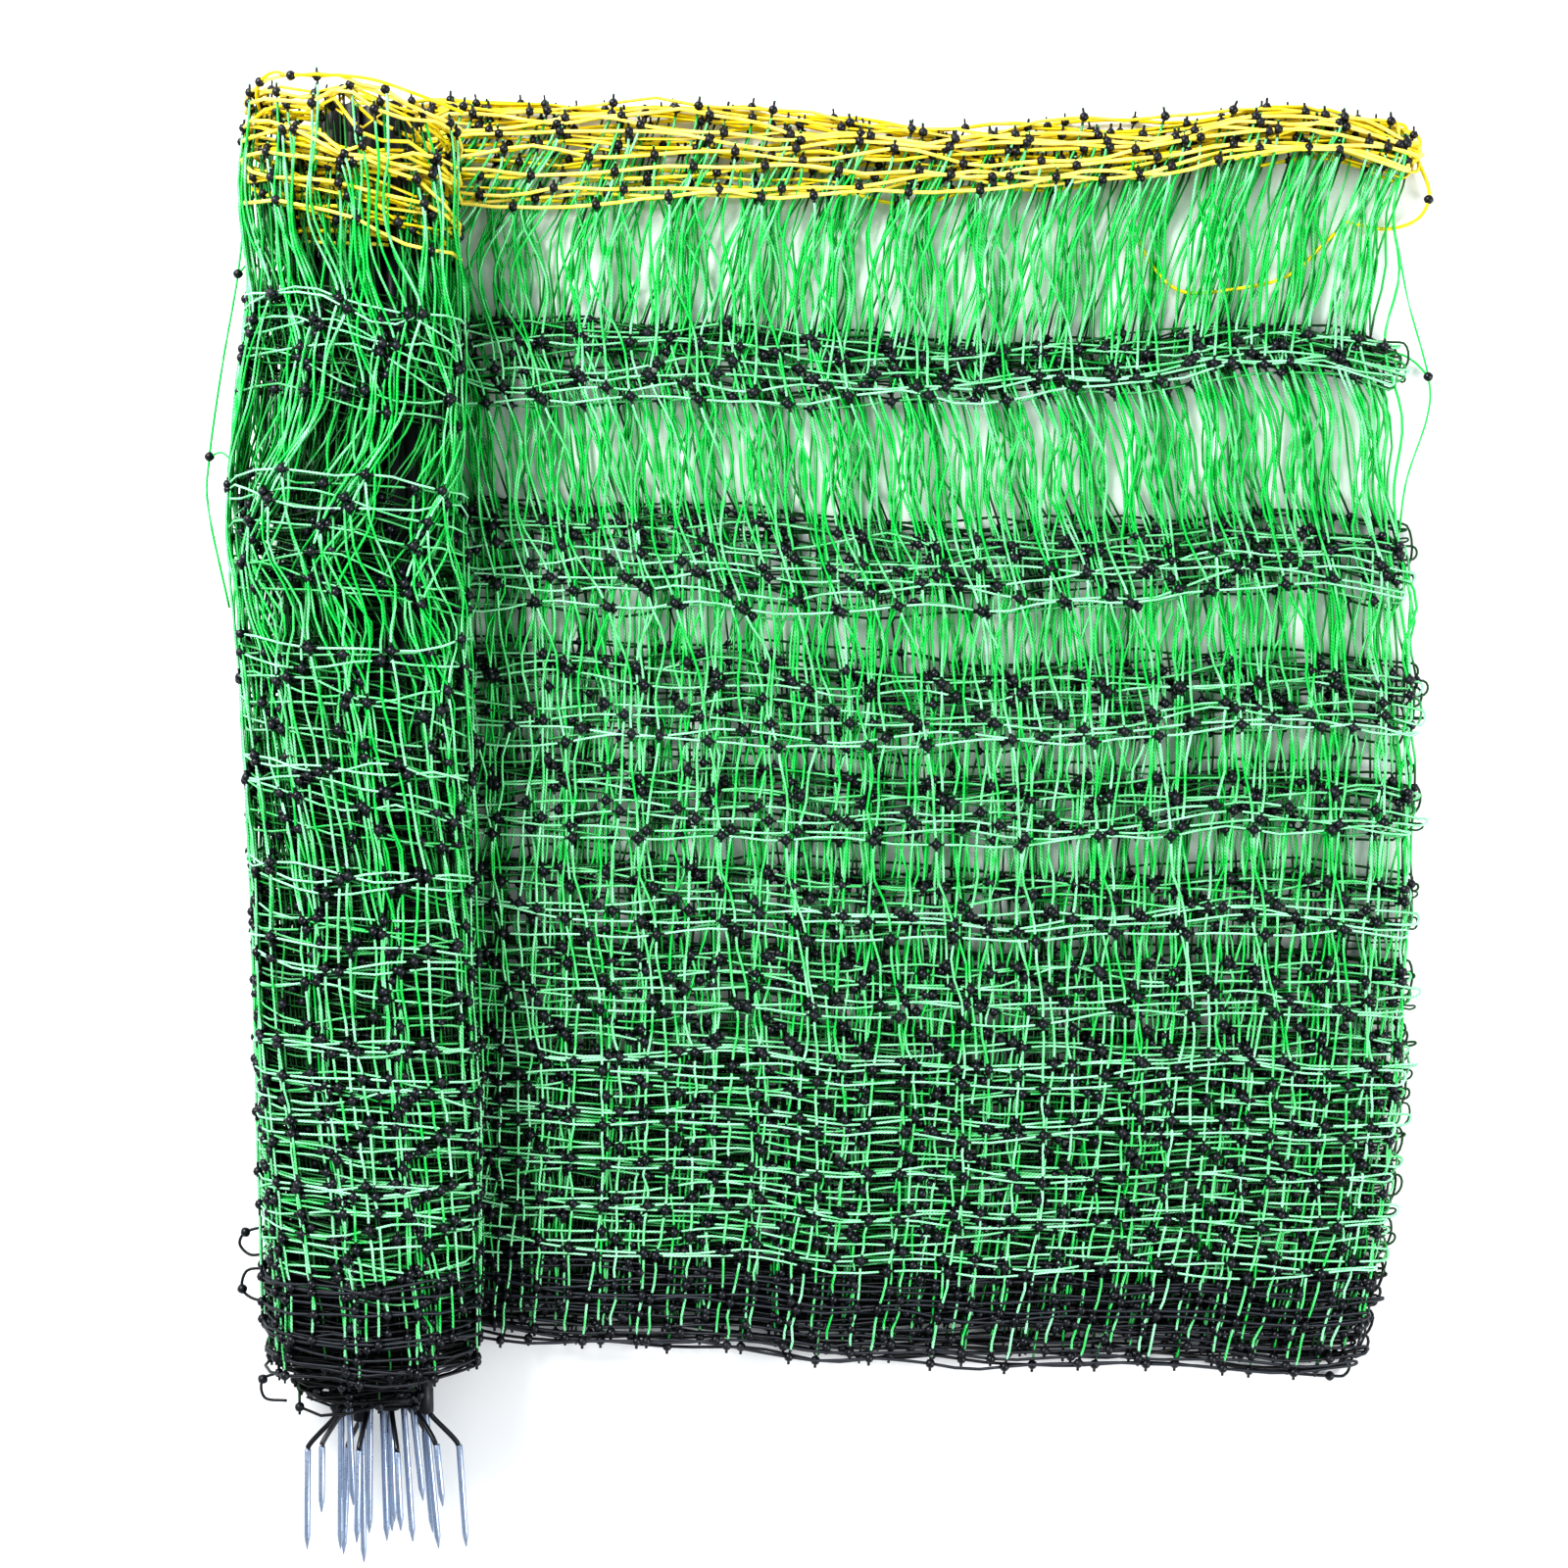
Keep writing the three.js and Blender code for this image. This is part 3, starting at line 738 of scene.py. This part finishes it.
def add_node(tree, kind, links=None, **settings):
    """A shader node with its settings; links maps its inputs to values, to sockets, or to nodes,
    whose first output is taken."""
    node = tree.nodes.new("ShaderNode" + kind)
    for name, value in settings.items():
        setattr(node, name, value)
    for key, value in (links or {}).items():
        if isinstance(value, bpy.types.Node):
            value = value.outputs[0]
        if isinstance(value, bpy.types.NodeSocket):
            tree.links.new(value, node.inputs[key])
        else:
            node.inputs[key].default_value = value
    return node


def new_material(name):
    """A material with an empty node tree, the function that adds a node to it, and the
    coordinates that its patterns are laid on."""
    material = bpy.data.materials.new(name)
    material.use_nodes = True
    tree = material.node_tree
    tree.nodes.clear()
    return material, partial(add_node, tree), add_node(tree, "TexCoord").outputs


def finished(material, inputs):
    """The material with its Principled shader, whose inputs are given."""
    shader = add_node(material.node_tree, "BsdfPrincipled", inputs)
    add_node(material.node_tree, "OutputMaterial", {"Surface": shader})
    return material


def once(maker, name, *colours, **values):
    """A material that several operators use, made by the first of them."""
    return bpy.data.materials.get(name) or maker(name, *colours, **values)


def per_metre(size):
    """Scale of a pattern on Object coordinates whose grain is of a size in millimetres."""
    return 1 / (size * MM)


def rgba(colour):
    """A colour with its alpha."""
    return (*colour, 1.0)


# A Map Range node's inputs are the value, the range it comes from (1 and 2), which is 0 to 1 if
# none is given, and the range it goes to (3 and 4). A Mix node's inputs 6 and 7 are two colours.


def twisted_polywire(name, base, light, shade, joint, plies, sleeve, dulled):
    """Twisted polyethylene filaments with fine steel wires: satin, with a slanting rib for every
    ply, painted shade between the plies, and paler at random, where the filaments are worn and,
    as painted light, on the top layers of the stack. The joints' black sleeves run a little way
    along it, and what lies deep in the stack is darkened with painted shade."""
    material, add, coordinates = new_material(name)
    around = add("SeparateXYZ", {0: coordinates["UV"]})
    slant = add("Math", {0: around, 1: around.outputs[1]}, operation="ADD")
    turns = add("Math", {0: slant, 1: 2 * np.pi * plies}, operation="MULTIPLY")
    wave = add("Math", {0: turns}, operation="SINE")
    rib = add("MapRange", {0: wave, 1: -1.0, 2: 1.0})
    place = coordinates["Object"]
    wear = add("TexNoise", {"Vector": place, "Scale": per_metre(18.2), "Detail": 3.0})
    paleness, deep, gap = (
        add("Attribute", attribute_name=mark).outputs["Fac"]
        for mark in ("paleness", "deep", "gap")
    )
    # Wear noise plus the tone mark, which holds random tone and painted light on the top layers,
    # mixes the colour towards the pale one.
    wear_and_painted_top_light = add("Math", {0: wear, 1: paleness}, operation="ADD")
    pale = add("MapRange", {0: wear_and_painted_top_light, 1: 0.5, 2: 1.05})
    # Painted shade in the grooves between the plies.
    groove = add("MapRange", {0: rib, 1: 0.0, 2: 0.45, 3: 0.7, 4: 0.0})
    # Painted shade: the deeper a point lies in the stack, the more its colour is darkened towards
    # a third of the shade colour.
    dust_and_painted_shade = add("MapRange", {0: deep, 1: 0.1, 2: 0.42, 4: dulled})
    cover = add("MapRange", {0: gap, 1: sleeve - 0.6, 2: sleeve + 0.6, 3: 1.0, 4: 0.0})
    colour = rgba(base)
    for factor, over in (
        (pale, light), (groove, shade), (dust_and_painted_shade, [0.3 * c for c in shade]), (cover, joint),
    ):
        mix = add("Mix", {"Factor": factor, 6: colour, 7: rgba(over)}, data_type="RGBA")
        colour = mix.outputs[2]
    bump = add("Bump", {"Height": rib, "Strength": 0.55, "Distance": 0.4 * MM})
    return finished(material, {
        "Base Color": colour, "Normal": bump, "Roughness": 0.36, "IOR": 1.51,
    })


def moulded_plastic(name, colour, roughness, grain):
    """Moulded or extruded black plastic: a soft gloss, broken by a fine grain and by rub marks."""
    material, add, coordinates = new_material(name)
    place = coordinates["Object"]
    fine = add("TexNoise", {"Vector": place, "Scale": per_metre(grain), "Detail": 2.0})
    rub = add("TexNoise", {"Vector": place, "Scale": per_metre(25.0), "Detail": 4.0})
    dull = add("MapRange", {0: rub, 1: 0.35, 2: 0.7, 3: roughness - 0.08, 4: roughness + 0.16})
    dust_and_painted_shade = add("MapRange", {0: rub, 1: 0.45, 2: 0.8, 4: 0.35})
    dusty = rgba(linear("#34373C"))
    shade = add("Mix", {"Factor": dust_and_painted_shade, 6: rgba(colour), 7: dusty}, data_type="RGBA")
    bump = add("Bump", {"Height": fine, "Strength": 0.25, "Distance": 0.15 * MM})
    return finished(material, {
        "Base Color": shade.outputs[2], "Roughness": dull, "Normal": bump, "IOR": 1.49,
    })


def galvanised_steel(name, colour):
    """Hot-dipped zinc on steel rod: bluish, with a soft spangle and brighter drawn streaks."""
    material, add, coordinates = new_material(name)
    place = coordinates["Object"]
    spangle = add("TexVoronoi", {"Vector": place, "Scale": per_metre(3.125)})
    fine, long = per_metre(1.11), per_metre(55.6)
    drawn = add("Mapping", {0: place, "Scale": (fine, long, fine)})
    streak = add("TexNoise", {"Vector": drawn, "Scale": 1.0})
    pale = add("MapRange", {0: streak, 1: 0.35, 2: 0.7})
    grey = rgba([0.72 * c for c in colour])
    zinc = add("Mix", {"Factor": pale, 6: grey, 7: rgba(colour)}, data_type="RGBA")
    dull = add("MapRange", {0: spangle, 1: 0.0, 2: 0.8, 3: 0.22, 4: 0.42})
    return finished(material, {
        "Base Color": zinc.outputs[2], "Roughness": dull, "Metallic": 1.0,
    })


def matt_board(name, colour):
    """Matt white board under the net: no gloss, and a faint mottle of its paper."""
    material, add, coordinates = new_material(name)
    mottle = add("TexNoise", {"Vector": coordinates["Object"], "Scale": per_metre(111.0)})
    greyer = rgba([0.985 * c for c in colour])
    tint = add("Mix", {"Factor": mottle, 6: rgba(colour), 7: greyer}, data_type="RGBA")
    return finished(material, {"Base Color": tint.outputs[2], "Roughness": 0.9})


def green_polywire(context):
    """The one green of the strands and the stays."""
    colours = context.scene.netting_colours
    return once(
        twisted_polywire, "green_polywire_twisted", colours.green, colours.green_light,
        # The last value is how far painted shade darkens the deep layers.
        colours.green_shade, colours.joint, plies=2, sleeve=8.0, dulled=0.96,
    )


def joint_plastic(context):
    """The one black of the moulded joints."""
    colour = context.scene.netting_colours.joint
    return once(moulded_plastic, "joint_plastic_moulded", colour, roughness=0.36, grain=0.5)


# The net


def twine(context, name, lines, chosen, radius, sides, material):
    """Twisted rods as one piece, along the chosen ones of some lines. The lines' middles come
    with their outward directions and their marks, which become marks of the rods' points."""
    middle, outward, marks = lines
    turn = context.scene.netting_sizes.twist / MM
    points, faces, uv = sweep(middle[chosen], outward[chosen], radius, sides, turn)
    marks = {mark: np.repeat(values[chosen], sides) for mark, values in marks.items()}
    return mesh_piece(name, points, faces, material, uv, marks)


def strand_pieces(context, name, strands, material, diameter, sides, seed):
    """All the strands of a colour: one piece of those that are seen, which is given back, and
    one of those between them."""
    deep = np.zeros(LAYERS // 2, bool)
    deep[DEEP_FOLDS] = True
    pieces = []
    for part, folds, steps, corners in (
        ("outer", ~deep, SEEN_STRAND_STEPS, sides), ("inner", deep, DEEP_STRAND_STEPS, 3),
    ):
        line, outward, marks = strand_lines(net_of(context), strands, steps)
        paleness = np.random.default_rng(seed).uniform(-0.1, 0.1, (len(line), 1))
        # Random tone, plus painted light: the top layers of the stack are made paler.
        marks["paleness"] = paleness + 0.5 * (1 - marks["deep"]) ** 3
        pieces.append(twine(
            context, f"{name}_{part}", (line, outward, marks), np.repeat(folds, len(strands)),
            diameter / MM / 2, corners, material,
        ))
    return pieces[0]


class NETTING_OT_top_strands(bpy.types.Operator):
    """Build the yellow top strand in all layers"""

    bl_idname = "netting.top_strands"
    bl_label = "Top Strands"

    def execute(self, context):
        colours = context.scene.netting_colours
        material = twisted_polywire(
            "yellow_polywire_twisted", colours.top, linear("#FFF191"), colours.top_shade,
            # The yellow strand gets no painted shade in the deep layers.
            colours.joint, plies=3, sleeve=4.0, dulled=0.0,
        )
        strand_pieces(
            context, "top_strands", YELLOW_STRANDS, material,
            context.scene.netting_sizes.top_strand, sides=8, seed=SEED + 3,
        )
        return {"FINISHED"}


class NETTING_OT_green_strands(bpy.types.Operator):
    """Build the eleven green strands in all layers, which stand for the CAD netting"""

    bl_idname = "netting.green_strands"
    bl_label = "Green Strands"

    def execute(self, context):
        piece = strand_pieces(
            context, "green_strands", GREEN_STRANDS, green_polywire(context),
            context.scene.netting_sizes.strand, sides=4, seed=SEED + 4,
        )
        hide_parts("netting")
        return {"FINISHED"}


class NETTING_OT_ground_strands(bpy.types.Operator):
    """Build the two black ground strands in all layers"""

    bl_idname = "netting.ground_strands"
    bl_label = "Ground Strands"

    def execute(self, context):
        colours = context.scene.netting_colours
        material = twisted_polywire(
            "black_polywire_twisted", colours.ground, linear("#30353C"), linear("#0A0A10"),
            # The last value is how far painted shade darkens the deep layers.
            colours.joint, plies=3, sleeve=7.0, dulled=0.9,
        )
        strand_pieces(
            context, "ground_strands", BLACK_STRANDS, material,
            context.scene.netting_sizes.ground_strand, sides=6, seed=SEED + 5,
        )
        return {"FINISHED"}


class NETTING_OT_stays(bpy.types.Operator):
    """Build the slack green stays, those of the flat stack and those of the roll"""

    bl_idname = "netting.stays"
    bl_label = "Stays"

    def execute(self, context):
        sizes = context.scene.netting_sizes
        net = net_of(context)
        on_roll = rolled(net)
        high = (DEPTH > FLAT_STAYS_SEEN)[:, None]
        outer = (DEPTH < ROLL_STAYS_SEEN)[:, None]
        paleness = np.random.default_rng(SEED + 6).uniform(-0.15, 0.15, (*net.kept.shape, 1))
        for name, chosen, sides, steps in (
            ("flat_stays_upper", ~on_roll & high, 4, SEEN_STEPS),
            ("flat_stays_lower", ~on_roll & ~high, 3, DEEP_STEPS),
            ("rolled_stays_outer", on_roll & outer, 4, SEEN_STEPS),
            ("rolled_stays_inner", on_roll & ~outer, 3, DEEP_STEPS),
        ):
            line, outward, marks = stay_lines(net, sizes.slack, sizes.stay_end / MM, steps)
            # Random tone, plus painted light: the stays of the top layers are made paler, most
            # near their joints.
            marks["paleness"] = paleness + 0.5 * (1 - marks["deep"]) ** 3 * np.exp(-marks["gap"] / 30)
            twine(
                context, name, (line, outward, marks), chosen & net.kept, sizes.stay / MM / 2,
                sides, green_polywire(context),
            )
        return {"FINISHED"}


def joint_template(sizes, sides, levels):
    """A moulded joint in its own axes: a ball of rings and two poles. Its middle ring, if it has
    one, reaches out in a lug along the strand (first axis) and along the stay (second axis)."""
    radius, lug = sizes.joint / MM / 2, sizes.arm / MM
    around = 2 * np.pi * np.arange(sides) / sides
    on_axis = np.isclose(np.abs(np.sin(2 * around)), 0.0, atol=1e-6)
    rings = []
    for level in np.radians(levels):
        reach = np.where(on_axis & (level == 0), lug, radius * np.cos(level))
        flat = np.full(sides, radius * np.sin(level))
        rings.append(np.stack([reach * np.cos(around), reach * np.sin(around), flat], axis=1))
    points = np.concatenate([[(0, 0, -radius)], *rings, [(0, 0, radius)]])
    here, after = np.arange(sides), np.roll(np.arange(sides), -1)
    last = 1 + sides * (len(levels) - 1)
    quads = np.concatenate([
        np.stack([low + here, low + after, low + sides + after, low + sides + here], axis=1)
        for low in range(1, last, sides)
    ])
    triangles = np.concatenate([
        np.stack([0 * here, 1 + after, 1 + here], axis=1),
        np.stack([0 * here + len(points) - 1, last + here, last + after], axis=1),
    ])
    return points, quads, triangles


class NETTING_OT_joints(bpy.types.Operator):
    """Build the black moulded joints at the crossings, on the flat stack and on the roll"""

    bl_idname = "netting.joints"
    bl_label = "Joints"

    # Millimetres to the next point of the strand, which gives its direction at a joint
    step = 4.0

    def execute(self, context):
        sizes = context.scene.netting_sizes
        net = net_of(context)
        layer, height, lift = crossings(net)
        place = place_of(layer, net.stays)
        middle = parted(
            lay(layer, place, height, lift)[0], place,
            np.arange(len(STRANDS)) == YELLOW_STRANDS[0],
        )
        beside = place_of(layer, net.stays + self.step)
        ahead = lay(layer, beside, height, lift)[0] - middle
        along = unit(np.gradient(middle, axis=2))
        ahead = unit(ahead - np.sum(ahead * along, axis=-1, keepdims=True) * along)
        axes = np.stack([ahead, along, np.cross(ahead, along)], axis=-2)
        full, plain = joint_template(sizes, *SEEN_JOINT), joint_template(sizes, *DEEP_JOINT)
        on_roll = rolled(net)
        for name, chosen, seen in (
            ("flat_joints", ~on_roll, DEPTH > FLAT_JOINTS_SEEN),
            ("rolled_joints", on_roll, DEPTH < ROLL_JOINTS_SEEN),
        ):
            blocks, faces, first = [], [], 0
            for (template, *shape), part in ((full, seen), (plain, ~seen)):
                pick = chosen & net.kept & part[:, None]
                own_axes = axes[pick].reshape(-1, 3, 3)
                reach = np.einsum("va,nac->nvc", template, own_axes)
                points = middle[pick].reshape(-1, 1, 3) + reach
                start = first + np.arange(len(points))[:, None, None] * len(template)
                faces += [(block + start).reshape(-1, block.shape[1]) for block in shape]
                blocks.append(points.reshape(-1, 3))
                first += len(blocks[-1])
            mesh_piece(
                name, np.concatenate(blocks), faces, joint_plastic(context)
            )
        return {"FINISHED"}


# Stray ends and loops that stand out of the net's outline: colour, diameter and points, in
# millimetres from the middle of the net. A joint is moulded on at the points marked 1.
STRAYS = (
    ("green", 2.4, [
        (-526, 574, 60, 0), (-533, 498, 62, 1), (-548, 408, 64, 0), (-560, 319, 66, 1),
        (-561, 268, 66, 0), (-541, 172, 64, 0),
    ]),
    ("green", 2.2, [(-533, 498, 62, 0), (-518, 508, 66, 0), (-498, 486, 72, 0)]),
    ("green", 2.2, [(-560, 319, 66, 0), (-546, 322, 70, 0), (-528, 305, 78, 0)]),
    ("yellow", 3.4, [
        (-502, 640, 96, 0), (-504, 655, 114, 0), (-498, 667, 130, 1), (-482, 673, 142, 0),
        (-465, 668, 149, 1), (-436, 668, 153, 0), (-389, 663, 155, 0), (-345, 650, 148, 0),
        (-306, 640, 122, 0),
    ]),
    ("yellow", 3.6, [
        (590, 632, 12, 0), (622, 628, 13, 0), (638, 604, 12, 0), (642, 582, 11, 1),
        (630, 562, 10, 0), (600, 553, 9, 0), (560, 560, 9, 0),
    ]),
    ("green", 2.2, [
        (606, 556, 12, 0), (612, 532, 11, 0), (622, 480, 10, 0), (642, 406, 9, 1),
        (641, 366, 9, 0), (620, 303, 11, 0), (612, 250, 13, 0),
    ]),
    ("green", 2.2, [(642, 406, 9, 0), (628, 420, 11, 0), (610, 428, 15, 0), (588, 424, 18, 0)]),
    ("yellow", 3.4, [
        (350, 545, 12, 0), (372, 508, 14, 0), (398, 489, 15, 0), (440, 491, 15, 0),
        (500, 505, 14, 0), (548, 548, 12, 0),
    ]),
    ("black", 2.8, [
        (-505, -430, 74, 0), (-524, -436, 70, 1), (-530, -448, 68, 0), (-519, -458, 70, 0),
        (-500, -455, 76, 0),
    ]),
    ("black", 2.8, [
        (-502, -470, 74, 0), (-523, -474, 68, 0), (-528, -492, 66, 1), (-514, -502, 68, 0),
        (-494, -498, 74, 0),
    ]),
    ("black", 2.8, [
        (-488, -572, 70, 0), (-508, -580, 66, 1), (-506, -598, 66, 0), (-484, -600, 70, 0),
    ]),
    ("black", 3.0, [
        (500, -563, 9, 0), (548, -567, 9, 1), (563, -575, 9, 0), (560, -588, 8, 0),
        (544, -590, 8, 1), (470, -584, 8, 0), (420, -575, 8, 0),
    ]),
)


def smooth_line(points, steps):
    """A smooth line through points: between two of them, the cubic whose slope at each is half
    the way from its one neighbour to its other one."""
    points = np.asarray(points, float)
    slope = np.gradient(points, axis=0)
    t = np.linspace(0, 1, steps, endpoint=False)[:, None]
    low, high = points[:-1, None], points[1:, None]
    bend = (
        low * (1 + 2 * t) * (1 - t) ** 2 + slope[:-1, None] * t * (1 - t) ** 2
        + high * t * t * (3 - 2 * t) + slope[1:, None] * t * t * (t - 1)
    )
    return np.concatenate([bend.reshape(-1, points.shape[1]), points[-1:]])


class NETTING_OT_strays(bpy.types.Operator):
    """Build the stray ends and loops that stand out of the net, with their joints"""

    bl_idname = "netting.strays"
    bl_label = "Stray Loops"

    steps = 8

    def execute(self, context):
        sizes = context.scene.netting_sizes
        wires = {
            "green": green_polywire(context),
            "yellow": bpy.data.materials["yellow_polywire_twisted"],
            "black": bpy.data.materials["black_polywire_twisted"],
        }
        template, quads, triangles = joint_template(sizes, *STRAY_JOINT)
        upwards = np.array([0.0, 0.0, 1.0])
        for number, (colour, diameter, points) in enumerate(STRAYS, 1):
            name = f"stray_{number:02d}"
            line = smooth_line(np.array(points)[:, :3], self.steps) + NET_ZERO
            far_off, none = np.full((1, len(line)), 50.0), np.zeros((1, len(line)))
            marks = {"gap": far_off, "deep": none, "paleness": none}
            twine(
                context, name, (line[None], upwards + 0 * line[None], marks), [0], diameter / 2,
                10, wires[colour],
            )
            for place in np.flatnonzero(np.array(points)[:, 3]) * self.steps:
                along = unit(line[place + 1] - line[place - 1])
                across = unit(np.cross(upwards, along))
                axes = np.stack([along, across, np.cross(along, across)])
                mesh_piece(
                    f"{name}_joint_{place:02d}", line[place] + template @ axes,
                    [quads, triangles], joint_plastic(context),
                )
        return {"FINISHED"}


# Posts, tread arms and spikes


def node_ends(name):
    """Middles of the lower and the upper end of a CAD rod that lies along Y, in millimetres."""
    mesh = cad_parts[name].data
    points = np.empty(len(mesh.vertices) * 3)
    mesh.vertices.foreach_get("co", points)
    points = points.reshape(-1, 3) / MM
    low = points[points[:, 1] < points[:, 1].min() + 0.5].mean(axis=0)
    high = points[points[:, 1] > points[:, 1].max() - 0.5].mean(axis=0)
    return low, high


def turned(low_profile, high_profile, low, high, sides):
    """A lathe form on the axis from low to high: each row of the two profiles is a distance from
    its own end and a radius, and the first and last rows close the form with a flat face."""
    length = np.linalg.norm(high - low)
    profile = np.array([*low_profile, *((length - back, radius) for back, radius in high_profile)])
    axis = unit(high - low)
    centre = low + profile[:, :1] * axis
    upwards = np.array([0.0, 0.0, 1.0])
    points, faces, _ = sweep(centre[None], upwards, profile[None, :, 1], sides, axis=axis)
    return points, faces


class NETTING_OT_posts(bpy.types.Operator):
    """Build the nine posts and their tread arms in place of the CAD ones"""

    bl_idname = "netting.posts"
    bl_label = "Posts"

    def execute(self, context):
        colours = context.scene.netting_colours
        post_plastic = moulded_plastic(
            "post_plastic_extruded", colours.post, roughness=0.42, grain=0.6
        )
        tread_plastic = moulded_plastic(
            "tread_plastic_moulded", colours.tread, roughness=0.36, grain=0.5
        )
        for number in POSTS:
            low, high = node_ends(f"post_{number:02d}")
            points, faces = turned(POST_FOOT, POST_TOP, low, high, 24)
            post = mesh_piece(
                f"post_body_{number:02d}", points, faces, post_plastic
            )
            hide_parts(f"post_{number:02d}")
            self.tread(number, low, tread_plastic)
        return {"FINISHED"}

    def tread(self, number, foot, plastic):
        """The sleeved bar from under the foot, out to the side and down to the second spike."""
        hub, tip = (node_ends(f"{kind}_{number:02d}")[1] for kind in ("spike", "second_spike"))
        across = (tip - hub) * [1, 0, 1]
        away, reach = unit(across), np.linalg.norm(across)
        out = np.array(TREAD_OUT) + [0, 0, reach, reach]
        line = bezier(foot + out[:, None] * away - np.outer(TREAD_DROP, [0, 1, 0]), 15)
        normal = np.cross(away, [0.0, 1.0, 0.0])
        points, faces, _ = sweep(line[None], normal, TREAD_RADIUS, 10)
        piece = mesh_piece(f"tread_{number:02d}", points, faces, plastic)
        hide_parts(f"tread_arm_{number:02d}")


class NETTING_OT_spikes(bpy.types.Operator):
    """Build the eighteen pointed spikes in place of the CAD ones"""

    bl_idname = "netting.spikes"
    bl_label = "Spikes"

    def execute(self, context):
        zinc = galvanised_steel("spike_steel_galvanised", context.scene.netting_colours.zinc)
        for number in POSTS:
            for kind in ("spike", "second_spike"):
                node = f"{kind}_{number:02d}"
                points, faces = turned(SPIKE_POINT, SPIKE_ROOT, *node_ends(node), 14)
                piece = mesh_piece(f"{kind}_rod_{number:02d}", points, faces, zinc)
                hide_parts(node)
        return {"FINISHED"}


# The stage


class NETTING_OT_stage(bpy.types.Operator):
    """Build the pale floor, the soft lights and the camera above the net"""

    bl_idname = "netting.stage"
    bl_label = "Stage"

    # Metres, but the sensor's width is in millimetres
    floor_reach = 6.0
    floor_drop = 0.00005
    camera_height = 2.6
    field = 1.568
    sensor = 36.0

    def execute(self, context):
        scene = context.scene
        mesh = bpy.data.meshes.new("floor")
        corners = self.floor_reach * np.array([(-1, -1, 0), (1, -1, 0), (1, 1, 0), (-1, 1, 0)])
        mesh.from_pydata((corners - [0, 0, self.floor_drop]).tolist(), [], [(0, 1, 2, 3)])
        mesh.materials.append(matt_board("matt_board", scene.netting_colours.floor))
        floor = bpy.data.objects.new("floor", mesh)
        scene.collection.objects.link(floor)
        self.lights(scene)
        self.camera(scene)
        return {"FINISHED"}

    def lights(self, scene):
        """A broad light beyond the net's top edge, a weaker one low on the right, a pale sky."""
        world = bpy.data.worlds.new("pale_sky")
        world.use_nodes = True
        sky = world.node_tree.nodes["Background"]
        sky.inputs["Color"].default_value = rgba(linear("#F7FAFF"))
        sky.inputs["Strength"].default_value = 0.6
        scene.world = world
        for name, place, power in (
            ("key_light", (-1.7, 1.9, 2.1), 108.0), ("fill_light", (2.6, -0.8, 1.9), 60.0),
        ):
            lamp = bpy.data.lights.new(name, "AREA")
            lamp.shape, lamp.size, lamp.energy = "DISK", 1.5, power
            holder = bpy.data.objects.new(name, lamp)
            holder.location = place
            holder.rotation_euler = (-holder.location).to_track_quat("-Z", "Y").to_euler()
            scene.collection.objects.link(holder)

    def camera(self, scene):
        """Straight above the net, with a field as wide as the photograph's at the floor."""
        lens = bpy.data.cameras.new("camera")
        lens.sensor_width = self.sensor
        lens.lens = self.sensor * self.camera_height / self.field
        camera = bpy.data.objects.new("camera", lens)
        camera.location = (NET_ZERO[0] * MM, NET_ZERO[1] * MM, self.camera_height)
        scene.collection.objects.link(camera)
        scene.camera = camera
        scene.view_settings.view_transform = "Standard"
        scene.view_settings.look = "High Contrast"


class NETTING_PT_panel(bpy.types.Panel):
    """Sizes, colours and builders of the net"""

    bl_idname = "NETTING_PT_panel"
    bl_label = "Folded Netting"
    bl_space_type = "VIEW_3D"
    bl_region_type = "UI"
    bl_category = "Netting"

    def draw(self, context):
        layout = self.layout
        for group in (context.scene.netting_sizes, context.scene.netting_colours):
            box = layout.box()
            for name in group.bl_rna.properties.keys():
                if name not in ("rna_type", "name"):
                    box.prop(group, name)
        for builder in BUILDERS:
            layout.operator(builder.bl_idname)


BUILDERS = (
    NETTING_OT_top_strands,
    NETTING_OT_green_strands,
    NETTING_OT_ground_strands,
    NETTING_OT_stays,
    NETTING_OT_joints,
    NETTING_OT_strays,
    NETTING_OT_posts,
    NETTING_OT_spikes,
    NETTING_OT_stage,
)
CLASSES = (NettingSizes, NettingColours, *BUILDERS, NETTING_PT_panel)


def register():
    """Register the classes and hang their sizes and colours on the scene."""
    for item in CLASSES:
        bpy.utils.register_class(item)
    bpy.types.Scene.netting_sizes = PointerProperty(type=NettingSizes)
    bpy.types.Scene.netting_colours = PointerProperty(type=NettingColours)


def unregister():
    """Undo what register did, in reverse."""
    del bpy.types.Scene.netting_colours
    del bpy.types.Scene.netting_sizes
    for item in reversed(CLASSES):
        bpy.utils.unregister_class(item)


def main():
    """Run every operator in order."""
    register()
    for builder in BUILDERS:
        group, name = builder.bl_idname.split(".")
        getattr(getattr(bpy.ops, group), name)()


if __name__ == "__main__":
    main()
